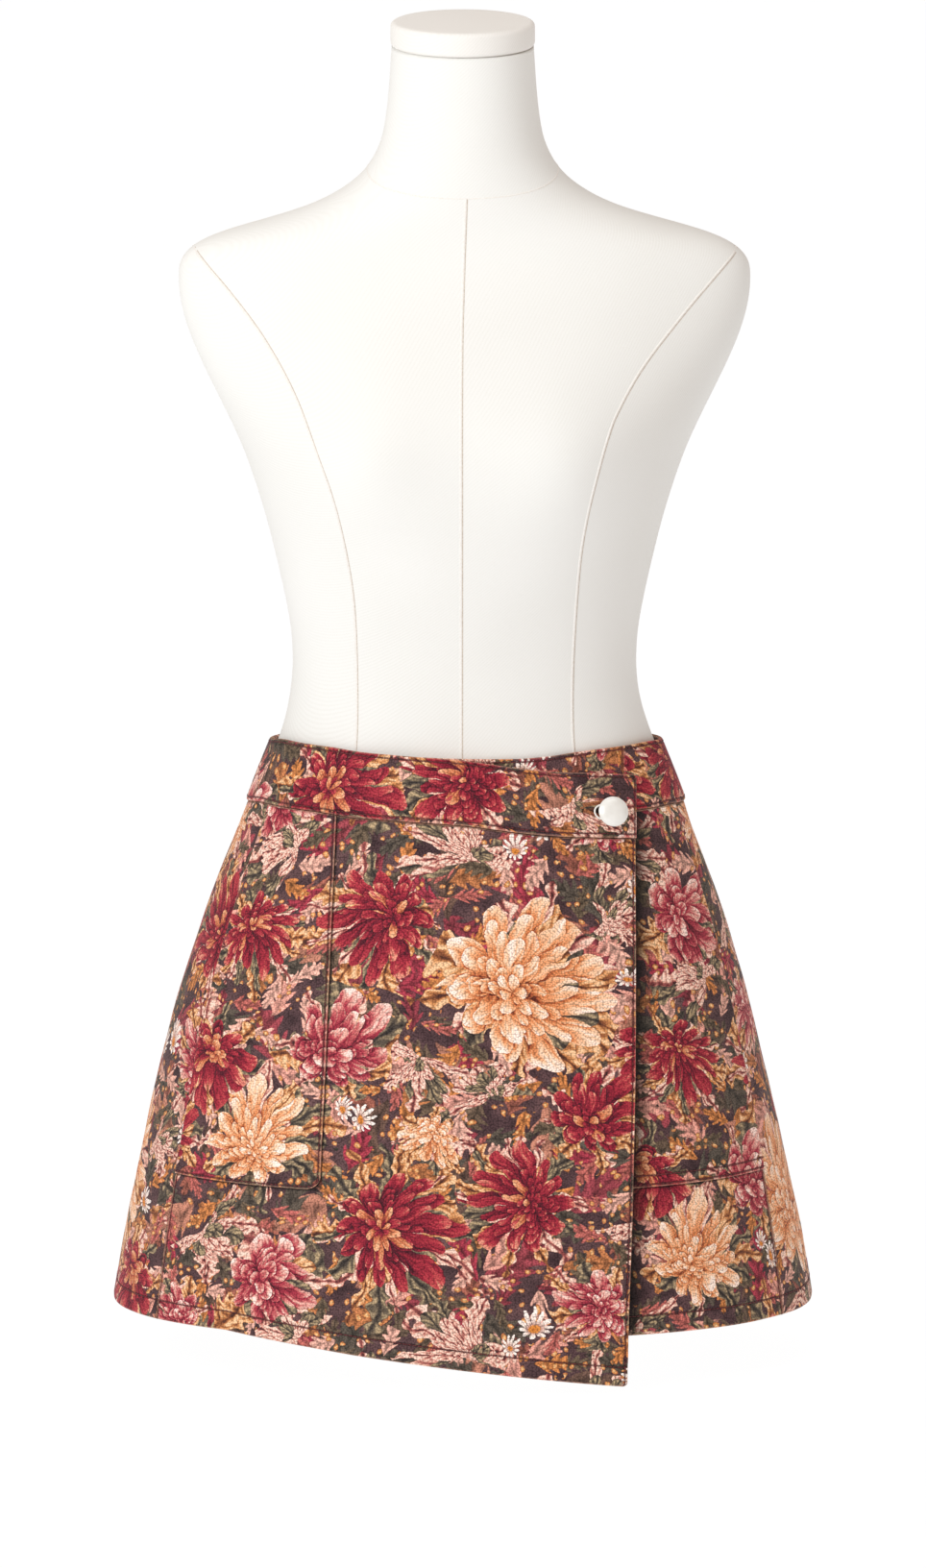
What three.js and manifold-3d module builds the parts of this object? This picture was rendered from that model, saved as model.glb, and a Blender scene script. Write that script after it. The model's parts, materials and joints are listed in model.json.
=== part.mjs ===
// A short A-line wrap skort, buttoned at the waist and worn on a limbless dress form.
// Millimetres, +Z up, the front faces -Y. The origin is the centre of the form's flat base.
//
// The garment is cut as a real one: a back, an underlap front, a wrap front that crosses it, a waistband
// in two lengths that runs round the waist and under its own free end, two patch pockets and a shank button.
// Every cloth piece is a wall laid on one shared surface, skirtPoint(), moved out by its place in the layers.
// The angle theta is 0 at the centre front (-Y) and grows towards +X, so +90 degrees is the +X side.

import * as THREE from "three";
import { mergeVertices } from "three/addons/utils/BufferGeometryUtils.js";
import Module from "manifold-3d";

const wasm = await Module();
wasm.setup();

// ---------------------------------------------------------------- driving dimensions

const CLOTH = 1.6; // one layer of the heavy figured cloth
const BAND_THICKNESS = 3.2; // the band is folded, so it is two layers
const BAND_HEIGHT = 42.3;
const SEAM_GAP = 0.3; // between two pieces that are sewn together
const BAND_PROUD = 1.8; // how far the band's face stands out from the panels' face
const LAYER_GAP = 1; // between the band and its own underlap

const WAIST = 384; // height of the waist seam, near enough to measure along the panels
const HEM = 38.5; // height of the level hem
const HEM_TURN = 13; // depth of the turned-up hem, which is two layers thick
const HEM_EXTRA = 1.1; // what the turn-up adds on the inside

const WRAP_SAG = { centre: 1, blend: 22, slope: 0.165 }; // how the free end of the band drops with x
const WRAP_HEM = { start: -163, drop: 34 }; // the wrap's hem falls in a straight line to its free corner
const WRAP_EDGE = { band: 117, hem: 110.8, straight: 250 }; // x of the free edge
const WRAP_CORNER = { band: 5, hem: 3 }; // radius of the free corners
const UNDER_EDGE = { band: -40, hem: -62 }; // x of the underlap's hidden edge
const BAND_JOIN = 108; // x of the upright seam in the band, under its free end
const LIFT_RUN = { start: 45, end: 6 }; // the wrap climbs onto the underlap over this run beside its edge
const EDGE_STAND = { width: 75, band: 0.5, skirt: 4.6 }; // how far the free edge stands off the underlap

const LEFT_SEAM = { band: 0.915, hem: 0.877 }; // the seams' x as a share of the half width
const RIGHT_SEAM = { band: 0.962, hem: 0.92 };

const POCKET_BOTTOM = 137;
const POCKET_THICKNESS = 1.4;
const POCKET_GAP = 0.45; // behind a pocket, which bends round the body in facets of its own
const POCKET_EDGE = { band: 87, bottom: 98 }; // |x| of a pocket's inner edge
const POCKET_CORNER = 9;

const BUTTON = { x: 99.8, z: 384.4, radius: 10.3, height: 4.4, shank: 2.2, clear: 3.4, tilt: -15 };
const BUTTONHOLE = { length: 27, width: 9, tail: 1.2, beyond: 5 };

const CAP = { radius: 48.9, height: 16.8, edge: 3.4, dome: 0.8 };
const FORM_TOP = 897.7; // top of the neck, under the cap
const BUST = { x: 76, z: 630, rise: 13, width: 46, height: 50 };

const SECTION_POWER = 2.1; // how square the sections are, 2 being an ellipse

// Height of the band's top edge at each angle: it dips at the front and falls away behind.
const WAIST_LINE = [
  { angle: -180, top: 416 },
  { angle: -125, top: 417.5 },
  { angle: -92, top: 422 },
  { angle: -68, top: 427.6 },
  { angle: -45, top: 428 },
  { angle: -28, top: 426.2 },
  { angle: 0, top: 424.2 },
  { angle: 14, top: 423.8 },
  { angle: 24, top: 424.6 },
  { angle: 34, top: 426.2 },
  { angle: 46, top: 426.9 },
  { angle: 66, top: 426.4 },
  { angle: 92, top: 422 },
  { angle: 125, top: 417.5 },
  { angle: 180, top: 416 },
];

// Centre x, half width and depths, at each height, of the band's outer face and of the skirt below it.
const SKIRT_SECTIONS = [
  { z: -20, x: -1.3, side: 247, front: 177.5, back: 187 },
  { z: 38, x: -1.3, side: 238, front: 170, back: 180 },
  { z: 87, x: -1.3, side: 229.8, front: 163.5, back: 173.5 },
  { z: 137, x: -1.3, side: 219.8, front: 156.5, back: 167 },
  { z: 186, x: -1.3, side: 209, front: 149.5, back: 160 },
  { z: 236, x: -1.3, side: 197, front: 141.5, back: 152 },
  { z: 269, x: -0.8, side: 187.6, front: 135, back: 145.8 },
  { z: 302, x: -0.2, side: 177.5, front: 127.2, back: 138 },
  { z: 335, x: 0, side: 165.5, front: 118.5, back: 128.5 },
  { z: 361, x: 0.3, side: 155.4, front: 110.2, back: 119.8 },
  { z: 384, x: 1, side: 147.4, front: 103.2, back: 112.2 },
  { z: 401, x: 1, side: 141, front: 97.2, back: 106 },
  { z: 414, x: 1, side: 135.8, front: 93.2, back: 101.2 },
  { z: 428, x: 1, side: 130.2, front: 88.8, back: 96.2 },
];

// Soft upright flutes of the flared cloth. They grow from nothing at the hip to their depth at the hem.
const FLUTES = [
  { angle: -108, width: 11, depth: 4 },
  { angle: -136, width: 12, depth: 7 },
  { angle: -169, width: 14, depth: 5.5 },
  { angle: 158, width: 13, depth: 7.5 },
  { angle: 126, width: 12, depth: 5.5 },
  { angle: 102, width: 9, depth: 2.5 },
  { angle: 62, width: 8, depth: -2.5 },
  { angle: -32, width: 13, depth: 2 },
];
const FLUTE_TOP = 330; // height at which the flutes have died out

// The dress form from its base to the top of the neck.
const FORM_SECTIONS = [
  { z: 0, x: 0, side: 71, front: 43, back: 47 },
  { z: 3, x: 0, side: 74, front: 46, back: 50 },
  { z: 45, x: 0, side: 90, front: 62, back: 68 },
  { z: 110, x: 0, side: 119, front: 86, back: 93 },
  { z: 175, x: 0, side: 145, front: 103, back: 112 },
  { z: 235, x: 0, side: 159, front: 110, back: 124 },
  { z: 285, x: 0, side: 163.5, front: 112, back: 126.5 },
  { z: 335, x: 0.3, side: 155.5, front: 107.5, back: 118 },
  { z: 380, x: 1, side: 143.9, front: 99.9, back: 108.8 },
  { z: 403, x: 1, side: 134.6, front: 91.8, back: 100 },
  { z: 427, x: 1, side: 124.6, front: 84.2, back: 91.4 },
  { z: 454, x: 0, side: 117.7, front: 80.5, back: 86.5 },
  { z: 474, x: 0, side: 115.9, front: 80, back: 85 },
  { z: 494, x: 0, side: 116.8, front: 82, back: 85.5 },
  { z: 520, x: 0, side: 121.2, front: 87.5, back: 88 },
  { z: 546, x: 0, side: 127, front: 94, back: 91.5 },
  { z: 573, x: 0, side: 133.6, front: 100, back: 95 },
  { z: 599, x: 0, side: 141.4, front: 104.5, back: 98.5 },
  { z: 625, x: 0, side: 150.6, front: 105.5, back: 101.5 },
  { z: 652, x: 0, side: 163.2, front: 101, back: 102.5 },
  { z: 678, x: 0, side: 176, front: 91, back: 100 },
  { z: 705, x: 0, side: 187.4, front: 78, back: 93.5 },
  { z: 731, x: 0, side: 193.5, front: 64, back: 83 },
  { z: 744, x: 0, side: 193.8, front: 57.5, back: 76 },
  { z: 753, x: 0, side: 190.8, front: 53.5, back: 71 },
  { z: 761, x: 0, side: 183, front: 51, back: 67 },
  { z: 768.5, x: 0, side: 167, front: 49.5, back: 63.5 },
  { z: 777.5, x: -0.3, side: 135, front: 49, back: 60 },
  { z: 786, x: -1, side: 107.6, front: 49.5, back: 57.5 },
  { z: 797.3, x: -1.2, side: 84.5, front: 50, back: 55.5 },
  { z: 810.5, x: -1.2, side: 68, front: 50, back: 54 },
  { z: 824, x: -1.2, side: 59, front: 49.5, back: 52.5 },
  { z: 838, x: -1.2, side: 54, front: 49, back: 51 },
  { z: 864, x: -1.2, side: 50.4, front: 48.6, back: 49.6 },
  { z: 897.7, x: -1.2, side: 48.1, front: 48.1, back: 48.1 },
];

const COLOURS = { cloth: 0x7d4a44, cover: 0xf4f1ec, metal: 0xe4e2de };

// ---------------------------------------------------------------- curves and sections

const rad = THREE.MathUtils.degToRad;
const { lerp, clamp, smoothstep } = THREE.MathUtils;

// A smooth curve through one column of a table against another, with no overshoot between its rows.
function curve(rows, key, name) {
  const at = rows.map((row) => row[key]);
  const value = rows.map((row) => row[name]);
  const slope = value.slice(1).map((v, i) => (v - value[i]) / (at[i + 1] - at[i]));
  const tangent = value.map((_, i) => {
    if (i === 0) return slope[0];
    if (i === slope.length) return slope[i - 1];
    const [before, after] = [slope[i - 1], slope[i]];
    return before * after <= 0 ? 0 : (2 * before * after) / (before + after);
  });
  return (place) => {
    const beyond = at.findIndex((a) => a > place);
    const k = beyond < 0 ? at.length - 2 : Math.max(beyond - 1, 0);
    const span = at[k + 1] - at[k];
    const t = clamp((place - at[k]) / span, 0, 1);
    const rise = t * t * (3 - 2 * t);
    const bend = tangent[k] * t * (1 - t) ** 2 - tangent[k + 1] * t * t * (1 - t);
    return lerp(value[k], value[k + 1], rise) + span * bend;
  };
}

function sectionsOf(rows) {
  const [x, side, front, back] = ["x", "side", "front", "back"].map((name) => curve(rows, "z", name));
  return (z) => ({ x: x(z), side: side(z), front: front(z), back: back(z) });
}

const skirtSection = sectionsOf(SKIRT_SECTIONS);
const formSection = sectionsOf(FORM_SECTIONS);

// A point of a rounded section: theta 0 is the front, +90 degrees the +X side.
function onSection(section, theta) {
  const s = Math.sin(theta);
  const c = Math.cos(theta);
  const depth = c > 0 ? -section.front : section.back;
  return {
    x: section.x + section.side * Math.sign(s) * Math.abs(s) ** (2 / SECTION_POWER),
    y: depth * Math.abs(c) ** (2 / SECTION_POWER),
  };
}

// Any angle as one between -180 and 180 degrees.
const wrapped = (theta) => Math.atan2(Math.sin(theta), Math.cos(theta));

// How far the flutes move the cloth out at an angle and a height.
function flute(theta, z) {
  const growth = clamp((FLUTE_TOP - z) / (FLUTE_TOP - HEM), 0, 1) ** 1.6;
  return FLUTES.reduce((sum, { angle, width, depth }) => {
    return sum + depth * growth * Math.exp(-((wrapped(theta - rad(angle)) / rad(width)) ** 2));
  }, 0);
}

function bare(theta, z) {
  const { x, y } = onSection(skirtSection(z), theta);
  return new THREE.Vector3(x, y, z);
}

function outward(theta, z) {
  const around = bare(theta + 0.01, z).sub(bare(theta - 0.01, z));
  const upward = bare(theta, z + 1).sub(bare(theta, z - 1));
  return around.cross(upward).normalize();
}

// The shared surface: the waistband's outer face and the skirt that falls from it, moved out by `out`.
function skirtPoint(theta, z, out) {
  return bare(theta, z).addScaledVector(outward(theta, z), out + flute(theta, z));
}

// The angle, on the front half, at which the surface moved out by `out` has that x.
function angleAt(x, z, out = 0) {
  const { x: centre, side } = skirtSection(z);
  let theta = 0;
  let wanted = x;
  for (let pass = 0; pass < 4; pass++) {
    const share = clamp((wanted - centre) / side, -1, 1);
    theta = Math.sign(share) * Math.asin(Math.abs(share) ** (SECTION_POWER / 2));
    wanted = x - (skirtPoint(theta, z, out).x - bare(theta, z).x);
  }
  return theta;
}

// ---------------------------------------------------------------- edges of the pieces

const waistTop = curve(WAIST_LINE, "angle", "top");
const bandTop = (theta) => waistTop(THREE.MathUtils.radToDeg(wrapped(theta)));
const bandBottom = (theta) => bandTop(theta) - BAND_HEIGHT;

const skirtShare = (z) => clamp((WAIST - z) / (WAIST - HEM), 0, 1);

const seamAngle = (seam, side) => (z) => {
  const { x, side: half } = skirtSection(z);
  return angleAt(x + side * lerp(seam.band, seam.hem, skirtShare(z)) * half, z);
};
const leftSeam = seamAngle(LEFT_SEAM, -1);
const rightSeam = seamAngle(RIGHT_SEAM, 1);

const underEdgeX = (z) => lerp(UNDER_EDGE.band, UNDER_EDGE.hem, skirtShare(z));

function wrapEdgeX(z) {
  return lerp(WRAP_EDGE.hem, WRAP_EDGE.band, smoothstep(z, -HEM, WRAP_EDGE.straight));
}

function wrapSag(x) {
  const { centre, blend, slope } = WRAP_SAG;
  return (slope * (Math.hypot(x - centre, blend) + (x - centre))) / 2;
}

function wrapHem(x) {
  return HEM - WRAP_HEM.drop * clamp((x - WRAP_HEM.start) / (WRAP_EDGE.hem - WRAP_HEM.start), 0, 1.02);
}

// How much a rounded corner takes off a height, at a distance from the end of the piece.
function cornerCut(distance, radius) {
  const inside = clamp(radius - distance, 0, radius);
  return radius - Math.sqrt(radius ** 2 - inside ** 2);
}

// How far the wrap lies outside the layer that it crosses, and how its free edge stands off.
function wrapLift(x, z) {
  const edge = underEdgeX(z);
  const climb = smoothstep(x, edge - LIFT_RUN.start, edge - LIFT_RUN.end);
  const stand = lerp(EDGE_STAND.band, EDGE_STAND.skirt, clamp((WAIST - 20 - z) / 120, 0, 1));
  const near = smoothstep(x, wrapEdgeX(z) - EDGE_STAND.width, wrapEdgeX(z));
  return (BAND_THICKNESS + LAYER_GAP) * climb + stand * near ** 1.5;
}

// The angle of the wrap's free edge, and of the underlap's hidden one.
const wrapEdge = (z) => angleAt(wrapEdgeX(z), z, wrapLift(wrapEdgeX(z), z));
const underEdge = (z) => angleAt(underEdgeX(z), z);

// ---------------------------------------------------------------- walls of cloth

// A closed wall over a grid: point(u, v, face) gives its outer face (0) and inner face (1).
function wall(us, vs, point) {
  const positions = [];
  const faces = [];
  const stride = vs.length;
  const layer = us.length * stride;
  for (const face of [0, 1]) {
    for (const u of us) for (const v of vs) positions.push(...point(u, v, face).toArray());
  }
  const at = (i, j, face) => face * layer + i * stride + j;
  const quad = (a, b, c, d) => faces.push(a, b, c, a, c, d);
  for (let i = 0; i + 1 < us.length; i++) {
    for (let j = 0; j + 1 < stride; j++) {
      quad(at(i, j, 0), at(i + 1, j, 0), at(i + 1, j + 1, 0), at(i, j + 1, 0));
      quad(at(i, j, 1), at(i, j + 1, 1), at(i + 1, j + 1, 1), at(i + 1, j, 1));
    }
    const top = stride - 1;
    quad(at(i, 0, 0), at(i, 0, 1), at(i + 1, 0, 1), at(i + 1, 0, 0));
    quad(at(i, top, 0), at(i + 1, top, 0), at(i + 1, top, 1), at(i, top, 1));
  }
  const end = us.length - 1;
  for (let j = 0; j + 1 < stride; j++) {
    quad(at(0, j, 0), at(0, j + 1, 0), at(0, j + 1, 1), at(0, j, 1));
    quad(at(end, j, 0), at(end, j, 1), at(end, j + 1, 1), at(end, j + 1, 0));
  }
  const geometry = new THREE.BufferGeometry();
  geometry.setAttribute("position", new THREE.Float32BufferAttribute(positions, 3));
  geometry.setIndex(faces);
  return geometry;
}

const steps = (count) => Array.from({ length: count + 1 }, (_, i) => i / count);

// Heights up a panel as shares of it, with close rows where the turned hem ends.
function panelRows(count, length) {
  const turn = HEM_TURN / length;
  const step = 2 / length;
  return [0, turn, turn + step, ...steps(count).slice(1).map((t) => lerp(turn + step, 1, t))];
}

// Edges lean with height and heights differ with the angle, so a point's two values are found together.
function settle(angleOf, heightOf) {
  let theta = angleOf(WAIST);
  let z = heightOf(theta);
  for (let pass = 0; pass < 4; pass++) {
    theta = angleOf(z);
    z = heightOf(theta);
  }
  return { z, theta };
}

// A skirt panel between two edges. out(x, z) is the place of its outer face in the layers.
function panel({ columns, rows, from, to, top, hem, out }) {
  const length = WAIST - HEM;
  return wall(steps(columns), panelRows(rows, length), (u, v, face) => {
    const low = bare(lerp(from(HEM), to(HEM), u), HEM).x;
    const { z, theta } = settle(
      (height) => lerp(from(height), to(height), u),
      (angle) => lerp(hem(low, u), top(angle), v),
    );
    const turned = v <= HEM_TURN / length + 1e-6 ? HEM_EXTRA : 0;
    return skirtPoint(theta, z, out(bare(theta, z).x, z) - face * (CLOTH + turned));
  });
}

// A line beside a seam's own, that many sewing gaps away.
function besideSeam(seam, gaps) {
  return (z) => seam(z) + (gaps * SEAM_GAP) / skirtSection(z).side;
}

const panelOut = () => -BAND_PROUD;
const wrapOut = (x, z) => -BAND_PROUD + wrapLift(x, z);
const panelTop = (theta) => bandBottom(theta) - SEAM_GAP;
const wrapTop = (theta) => panelTop(theta) - wrapSag(bare(theta, WAIST).x);

function backPanel() {
  return panel({
    columns: 46,
    rows: 9,
    from: besideSeam(rightSeam, 0.6),
    to: (z) => 2 * Math.PI + besideSeam(leftSeam, -0.6)(z),
    top: panelTop,
    hem: () => HEM,
    out: panelOut,
  });
}

function underPanel() {
  return panel({
    columns: 22,
    rows: 9,
    from: underEdge,
    to: besideSeam(rightSeam, -0.6),
    top: panelTop,
    hem: () => HEM,
    out: panelOut,
  });
}

function wrapPanel() {
  const width = WRAP_EDGE.hem - WRAP_HEM.start;
  return panel({
    columns: 40,
    rows: 10,
    from: besideSeam(leftSeam, 0.6),
    to: wrapEdge,
    top: wrapTop,
    hem: (x, u) => wrapHem(x) + cornerCut((1 - u) * width, WRAP_CORNER.hem),
    out: wrapOut,
  });
}

// ---------------------------------------------------------------- waistband

// A length of the folded strip between two edges, which lean only near the strip's ends.
function strip({ columns, from, to, corner }) {
  const rows = [0, 0.04, 0.5, 0.93, 1];
  const middle = WAIST + BAND_HEIGHT / 2;
  const [start, end] = [from(middle), to(middle)];
  const fade = (distance) => clamp(1 - distance / rad(45), 0, 1);
  return wall(columns, rows, (u, v, face) => {
    const along = lerp(start, end, u);
    const outer = along > -Math.PI / 2;
    const cut = cornerCut((start - along) * 125, corner);
    const { z, theta } = settle(
      (height) =>
        along + (from(height) - start) * fade(start - along) + (to(height) - end) * fade(along - end),
      (angle) => {
        const sag = outer ? wrapSag(bare(angle, WAIST).x) : 0;
        return lerp(bandBottom(angle), bandTop(angle) - cut, v) - sag;
      },
    );
    const lift = outer ? wrapLift(bare(theta, z).x, z) : 0;
    const rounding = v > 0.99 ? 0.8 : v < 0.01 ? 0.4 : 0;
    return skirtPoint(theta, z, lift - (face ? BAND_THICKNESS - rounding : rounding));
  });
}

const joinAngle = (gaps) => (z) => angleAt(BAND_JOIN, z) - 2 * Math.PI + (gaps * SEAM_GAP) / 125;

// From the free end round the left, the back and the right to the upright seam.
function waistband() {
  const columns = [0, 0.003, 0.006, 0.01, ...steps(70).slice(1).map((t) => lerp(0.01, 1, t))];
  return strip({ columns, from: wrapEdge, to: joinAngle(0.5), corner: WRAP_CORNER.band });
}

// From the upright seam to the hidden end under the wrap.
function underBand() {
  const hidden = (z) => underEdge(z) - 2 * Math.PI;
  return strip({ columns: steps(18), from: joinAngle(-0.5), to: hidden, corner: 0.01 });
}

// The teardrop buttonhole, cut through the outer end of the band alone.
function buttonhole() {
  const { length, width, tail, beyond } = BUTTONHOLE;
  const wide = width / 2;
  const shape = new THREE.Shape();
  shape.moveTo(beyond - length, tail / 2);
  shape.quadraticCurveTo(beyond - length / 2, wide, 0, wide);
  shape.absarc(beyond - wide, 0, wide, Math.PI / 2, -Math.PI / 2, true);
  shape.quadraticCurveTo(beyond - length / 2, -wide, beyond - length, -tail / 2);
  const depth = BAND_THICKNESS + 3;
  const cutter = new THREE.ExtrudeGeometry(shape, { depth, bevelEnabled: false, curveSegments: 8 });
  cutter.translate(0, 0, -BAND_THICKNESS - LAYER_GAP / 2);
  return cutter.applyMatrix4(buttonFrame());
}

// ---------------------------------------------------------------- pockets

// A patch laid on a panel's own points, from the waist seam down and from its side seam to its inner edge.
function pocket({ seam, edge, under, top }) {
  const columns = [...steps(11).slice(0, -1), 0.94, 0.965, 0.985, 1];
  return wall(columns, panelRows(8, WAIST - POCKET_BOTTOM), (u, v, face) => {
    const cut = cornerCut((1 - u) * 110, POCKET_CORNER);
    const { z, theta } = settle(
      (height) => lerp(seam(height), edge(height), u),
      (angle) => lerp(POCKET_BOTTOM + cut, top(angle), v),
    );
    const base = under(bare(theta, z).x, z) + POCKET_GAP;
    return skirtPoint(theta, z, base + (face ? 0 : POCKET_THICKNESS));
  });
}

const pocketEdge = (side) => (z) => {
  const fall = clamp((WAIST - z) / (WAIST - POCKET_BOTTOM), 0, 1);
  return angleAt(side * lerp(POCKET_EDGE.band, POCKET_EDGE.bottom, fall), z);
};

// The same surface with its triangles turned over, for a grid that runs the other way round.
function flip(geometry) {
  const index = geometry.getIndex().array;
  for (let i = 0; i < index.length; i += 3) [index[i + 1], index[i + 2]] = [index[i + 2], index[i + 1]];
  return geometry;
}

function leftPocket() {
  return pocket({ seam: besideSeam(leftSeam, 4), edge: pocketEdge(-1), under: wrapOut, top: wrapTop });
}

function rightPocket() {
  const seam = besideSeam(rightSeam, -4);
  return flip(pocket({ seam, edge: pocketEdge(1), under: panelOut, top: panelTop }));
}

// ---------------------------------------------------------------- button

// The button's own frame: x along the band, z out of the cloth, its origin on the wrap's outer face.
function buttonFrame() {
  const { x, z } = BUTTON;
  const lift = wrapLift(x, z);
  const theta = angleAt(x, z, lift);
  const out = outward(theta, z);
  const along = skirtPoint(theta + 0.05, z, lift).sub(skirtPoint(theta - 0.05, z, lift));
  along.z = -WRAP_SAG.slope * along.length();
  along.addScaledVector(out, -along.dot(out)).normalize();
  const up = new THREE.Vector3().crossVectors(out, along);
  return new THREE.Matrix4().makeBasis(along, up, out).setPosition(skirtPoint(theta, z, lift));
}

// A domed cap on a shank that stands on the underlap's band and leans a little towards the front.
function button() {
  const { radius, height, shank, clear, tilt } = BUTTON;
  const foot = -BAND_THICKNESS - LAYER_GAP - EDGE_STAND.band + SEAM_GAP + 0.35;
  const profile = [
    [0, foot],
    [shank, foot],
    [shank, clear],
    [radius - 1.2, clear],
    [radius, clear + 0.9],
    [radius, clear + 1.9],
    [radius - 1, clear + height - 0.8],
    [radius * 0.55, clear + height - 0.1],
    [0, clear + height],
  ].map(([r, z]) => new THREE.Vector2(r, z));
  const cap = new THREE.LatheGeometry(profile, 28).rotateX(Math.PI / 2);
  return cap.rotateY(rad(tilt)).applyMatrix4(buttonFrame());
}

// ---------------------------------------------------------------- dress form

// The bust is two soft mounds on the front of the section.
function bustRise(x, z) {
  const near = (Math.abs(x) - BUST.x) / BUST.width;
  const high = (z - BUST.z) / BUST.height;
  return BUST.rise * Math.exp(-(near ** 2) - high ** 2);
}

function formPoint(theta, z) {
  const { x, y } = onSection(formSection(z), theta);
  const front = Math.max(Math.cos(theta), 0);
  return new THREE.Vector3(x, y - bustRise(x, z) * Math.min(1, front * 2), z);
}

// Rings up the form, closer where its outline turns fast, closed by a flat base and a flat neck.
function dressForm() {
  const around = 44;
  const heights = FORM_SECTIONS.flatMap(({ z }, i) => {
    const next = FORM_SECTIONS[i + 1];
    if (!next) return [z];
    const parts = next.z - z > 40 ? 2 : 1;
    return steps(parts).slice(0, -1).map((t) => lerp(z, next.z, t));
  });
  const positions = [0, 0, heights[0]];
  for (const z of heights) {
    for (let i = 0; i < around; i++) positions.push(...formPoint((2 * Math.PI * i) / around, z).toArray());
  }
  positions.push(0, 0, FORM_TOP);
  const last = positions.length / 3 - 1;
  const at = (ring, i) => 1 + ring * around + (i % around);
  const faces = [];
  for (let i = 0; i < around; i++) {
    faces.push(0, at(0, i + 1), at(0, i));
    faces.push(last, at(heights.length - 1, i), at(heights.length - 1, i + 1));
    for (let ring = 0; ring + 1 < heights.length; ring++) {
      const [a, b] = [at(ring, i), at(ring, i + 1)];
      const [c, d] = [at(ring + 1, i + 1), at(ring + 1, i)];
      faces.push(a, b, c, a, c, d);
    }
  }
  const geometry = new THREE.BufferGeometry();
  geometry.setAttribute("position", new THREE.Float32BufferAttribute(positions, 3));
  geometry.setIndex(faces);
  return geometry;
}

// The flat round block on the neck, with rounded edges.
function neckCap() {
  const { radius, height, edge, dome } = CAP;
  const arc = (centre, from) =>
    steps(3).map((t) => {
      const turn = from + (t * Math.PI) / 2;
      return new THREE.Vector2(radius - edge + edge * Math.cos(turn), centre + edge * Math.sin(turn));
    });
  const profile = [
    new THREE.Vector2(0, 0),
    ...arc(edge, -Math.PI / 2),
    ...arc(height - edge, 0),
    new THREE.Vector2(0, height + dome),
  ];
  const geometry = new THREE.LatheGeometry(profile, 44).rotateX(Math.PI / 2);
  return geometry.translate(formSection(FORM_TOP).x, 0, FORM_TOP + SEAM_GAP);
}

// ---------------------------------------------------------------- joining and cutting

function solid(geometry) {
  const plain = geometry.clone();
  plain.deleteAttribute("normal");
  plain.deleteAttribute("uv");
  const merged = mergeVertices(plain, 1e-4);
  return new wasm.Manifold(
    new wasm.Mesh({
      numProp: 3,
      vertProperties: merged.attributes.position.array,
      triVerts: new Uint32Array(merged.index.array),
    }),
  );
}

function cut(geometry, tool) {
  const mesh = solid(geometry).subtract(solid(tool)).getMesh();
  const made = new THREE.BufferGeometry();
  made.setAttribute("position", new THREE.BufferAttribute(new Float32Array(mesh.vertProperties), 3));
  made.setIndex(new THREE.BufferAttribute(new Uint32Array(mesh.triVerts), 1));
  return made;
}

// ---------------------------------------------------------------- the part

const cloth = { color: COLOURS.cloth, roughness: 0.75, metalness: 0 };
const cover = { color: COLOURS.cover, roughness: 0.6, metalness: 0 };
const metal = { color: COLOURS.metal, roughness: 0.3, metalness: 0.6 };

const PIECES = [
  { name: "form_body", finish: cover, geometry: dressForm() },
  { name: "neck_cap", finish: cover, geometry: neckCap() },
  { name: "back", finish: cloth, geometry: backPanel() },
  { name: "front_under", finish: cloth, geometry: underPanel() },
  { name: "front_wrap", finish: cloth, geometry: wrapPanel() },
  { name: "waistband", finish: cloth, geometry: cut(flip(waistband()), buttonhole()) },
  { name: "band_under", finish: cloth, geometry: flip(underBand()) },
  { name: "pocket_left", finish: cloth, geometry: leftPocket() },
  { name: "pocket_right", finish: cloth, geometry: rightPocket() },
  { name: "button", finish: metal, geometry: button() },
];

const part = new THREE.Group();
for (const { name, finish, geometry } of PIECES) {
  const mesh = new THREE.Mesh(geometry, new THREE.MeshStandardMaterial(finish));
  mesh.name = name;
  part.add(mesh);
}

export default part;
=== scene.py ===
"""A wrap skort on a limbless dress form: its cloth, sewing, print, form, floor and light.

Millimetres are used throughout and become metres where a mesh is made. The front faces -Y, and theta
is 0 at the centre front and grows towards +X. Every layer of cloth lies on one surface, skirt_point().
"""

import json
import math
from functools import partial

import bpy
import numpy as np
from mathutils import Matrix, Vector

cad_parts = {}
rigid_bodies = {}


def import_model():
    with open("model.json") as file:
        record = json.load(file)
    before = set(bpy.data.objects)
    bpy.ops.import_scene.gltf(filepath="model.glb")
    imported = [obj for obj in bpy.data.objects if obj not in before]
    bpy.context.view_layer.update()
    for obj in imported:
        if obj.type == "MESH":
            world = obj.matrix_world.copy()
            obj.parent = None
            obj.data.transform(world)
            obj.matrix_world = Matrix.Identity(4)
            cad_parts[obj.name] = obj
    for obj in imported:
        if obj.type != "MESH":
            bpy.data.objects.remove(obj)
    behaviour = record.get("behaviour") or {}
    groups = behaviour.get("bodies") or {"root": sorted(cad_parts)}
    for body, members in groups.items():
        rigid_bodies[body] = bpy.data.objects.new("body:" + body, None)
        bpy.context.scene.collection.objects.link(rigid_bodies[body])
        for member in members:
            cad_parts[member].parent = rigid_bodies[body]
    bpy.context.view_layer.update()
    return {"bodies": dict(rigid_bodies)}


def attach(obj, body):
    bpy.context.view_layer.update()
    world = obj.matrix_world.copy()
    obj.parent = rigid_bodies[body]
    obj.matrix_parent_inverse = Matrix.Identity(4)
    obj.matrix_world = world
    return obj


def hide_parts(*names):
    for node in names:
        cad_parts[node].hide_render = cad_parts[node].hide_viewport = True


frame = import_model()
MM = 0.001

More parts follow.
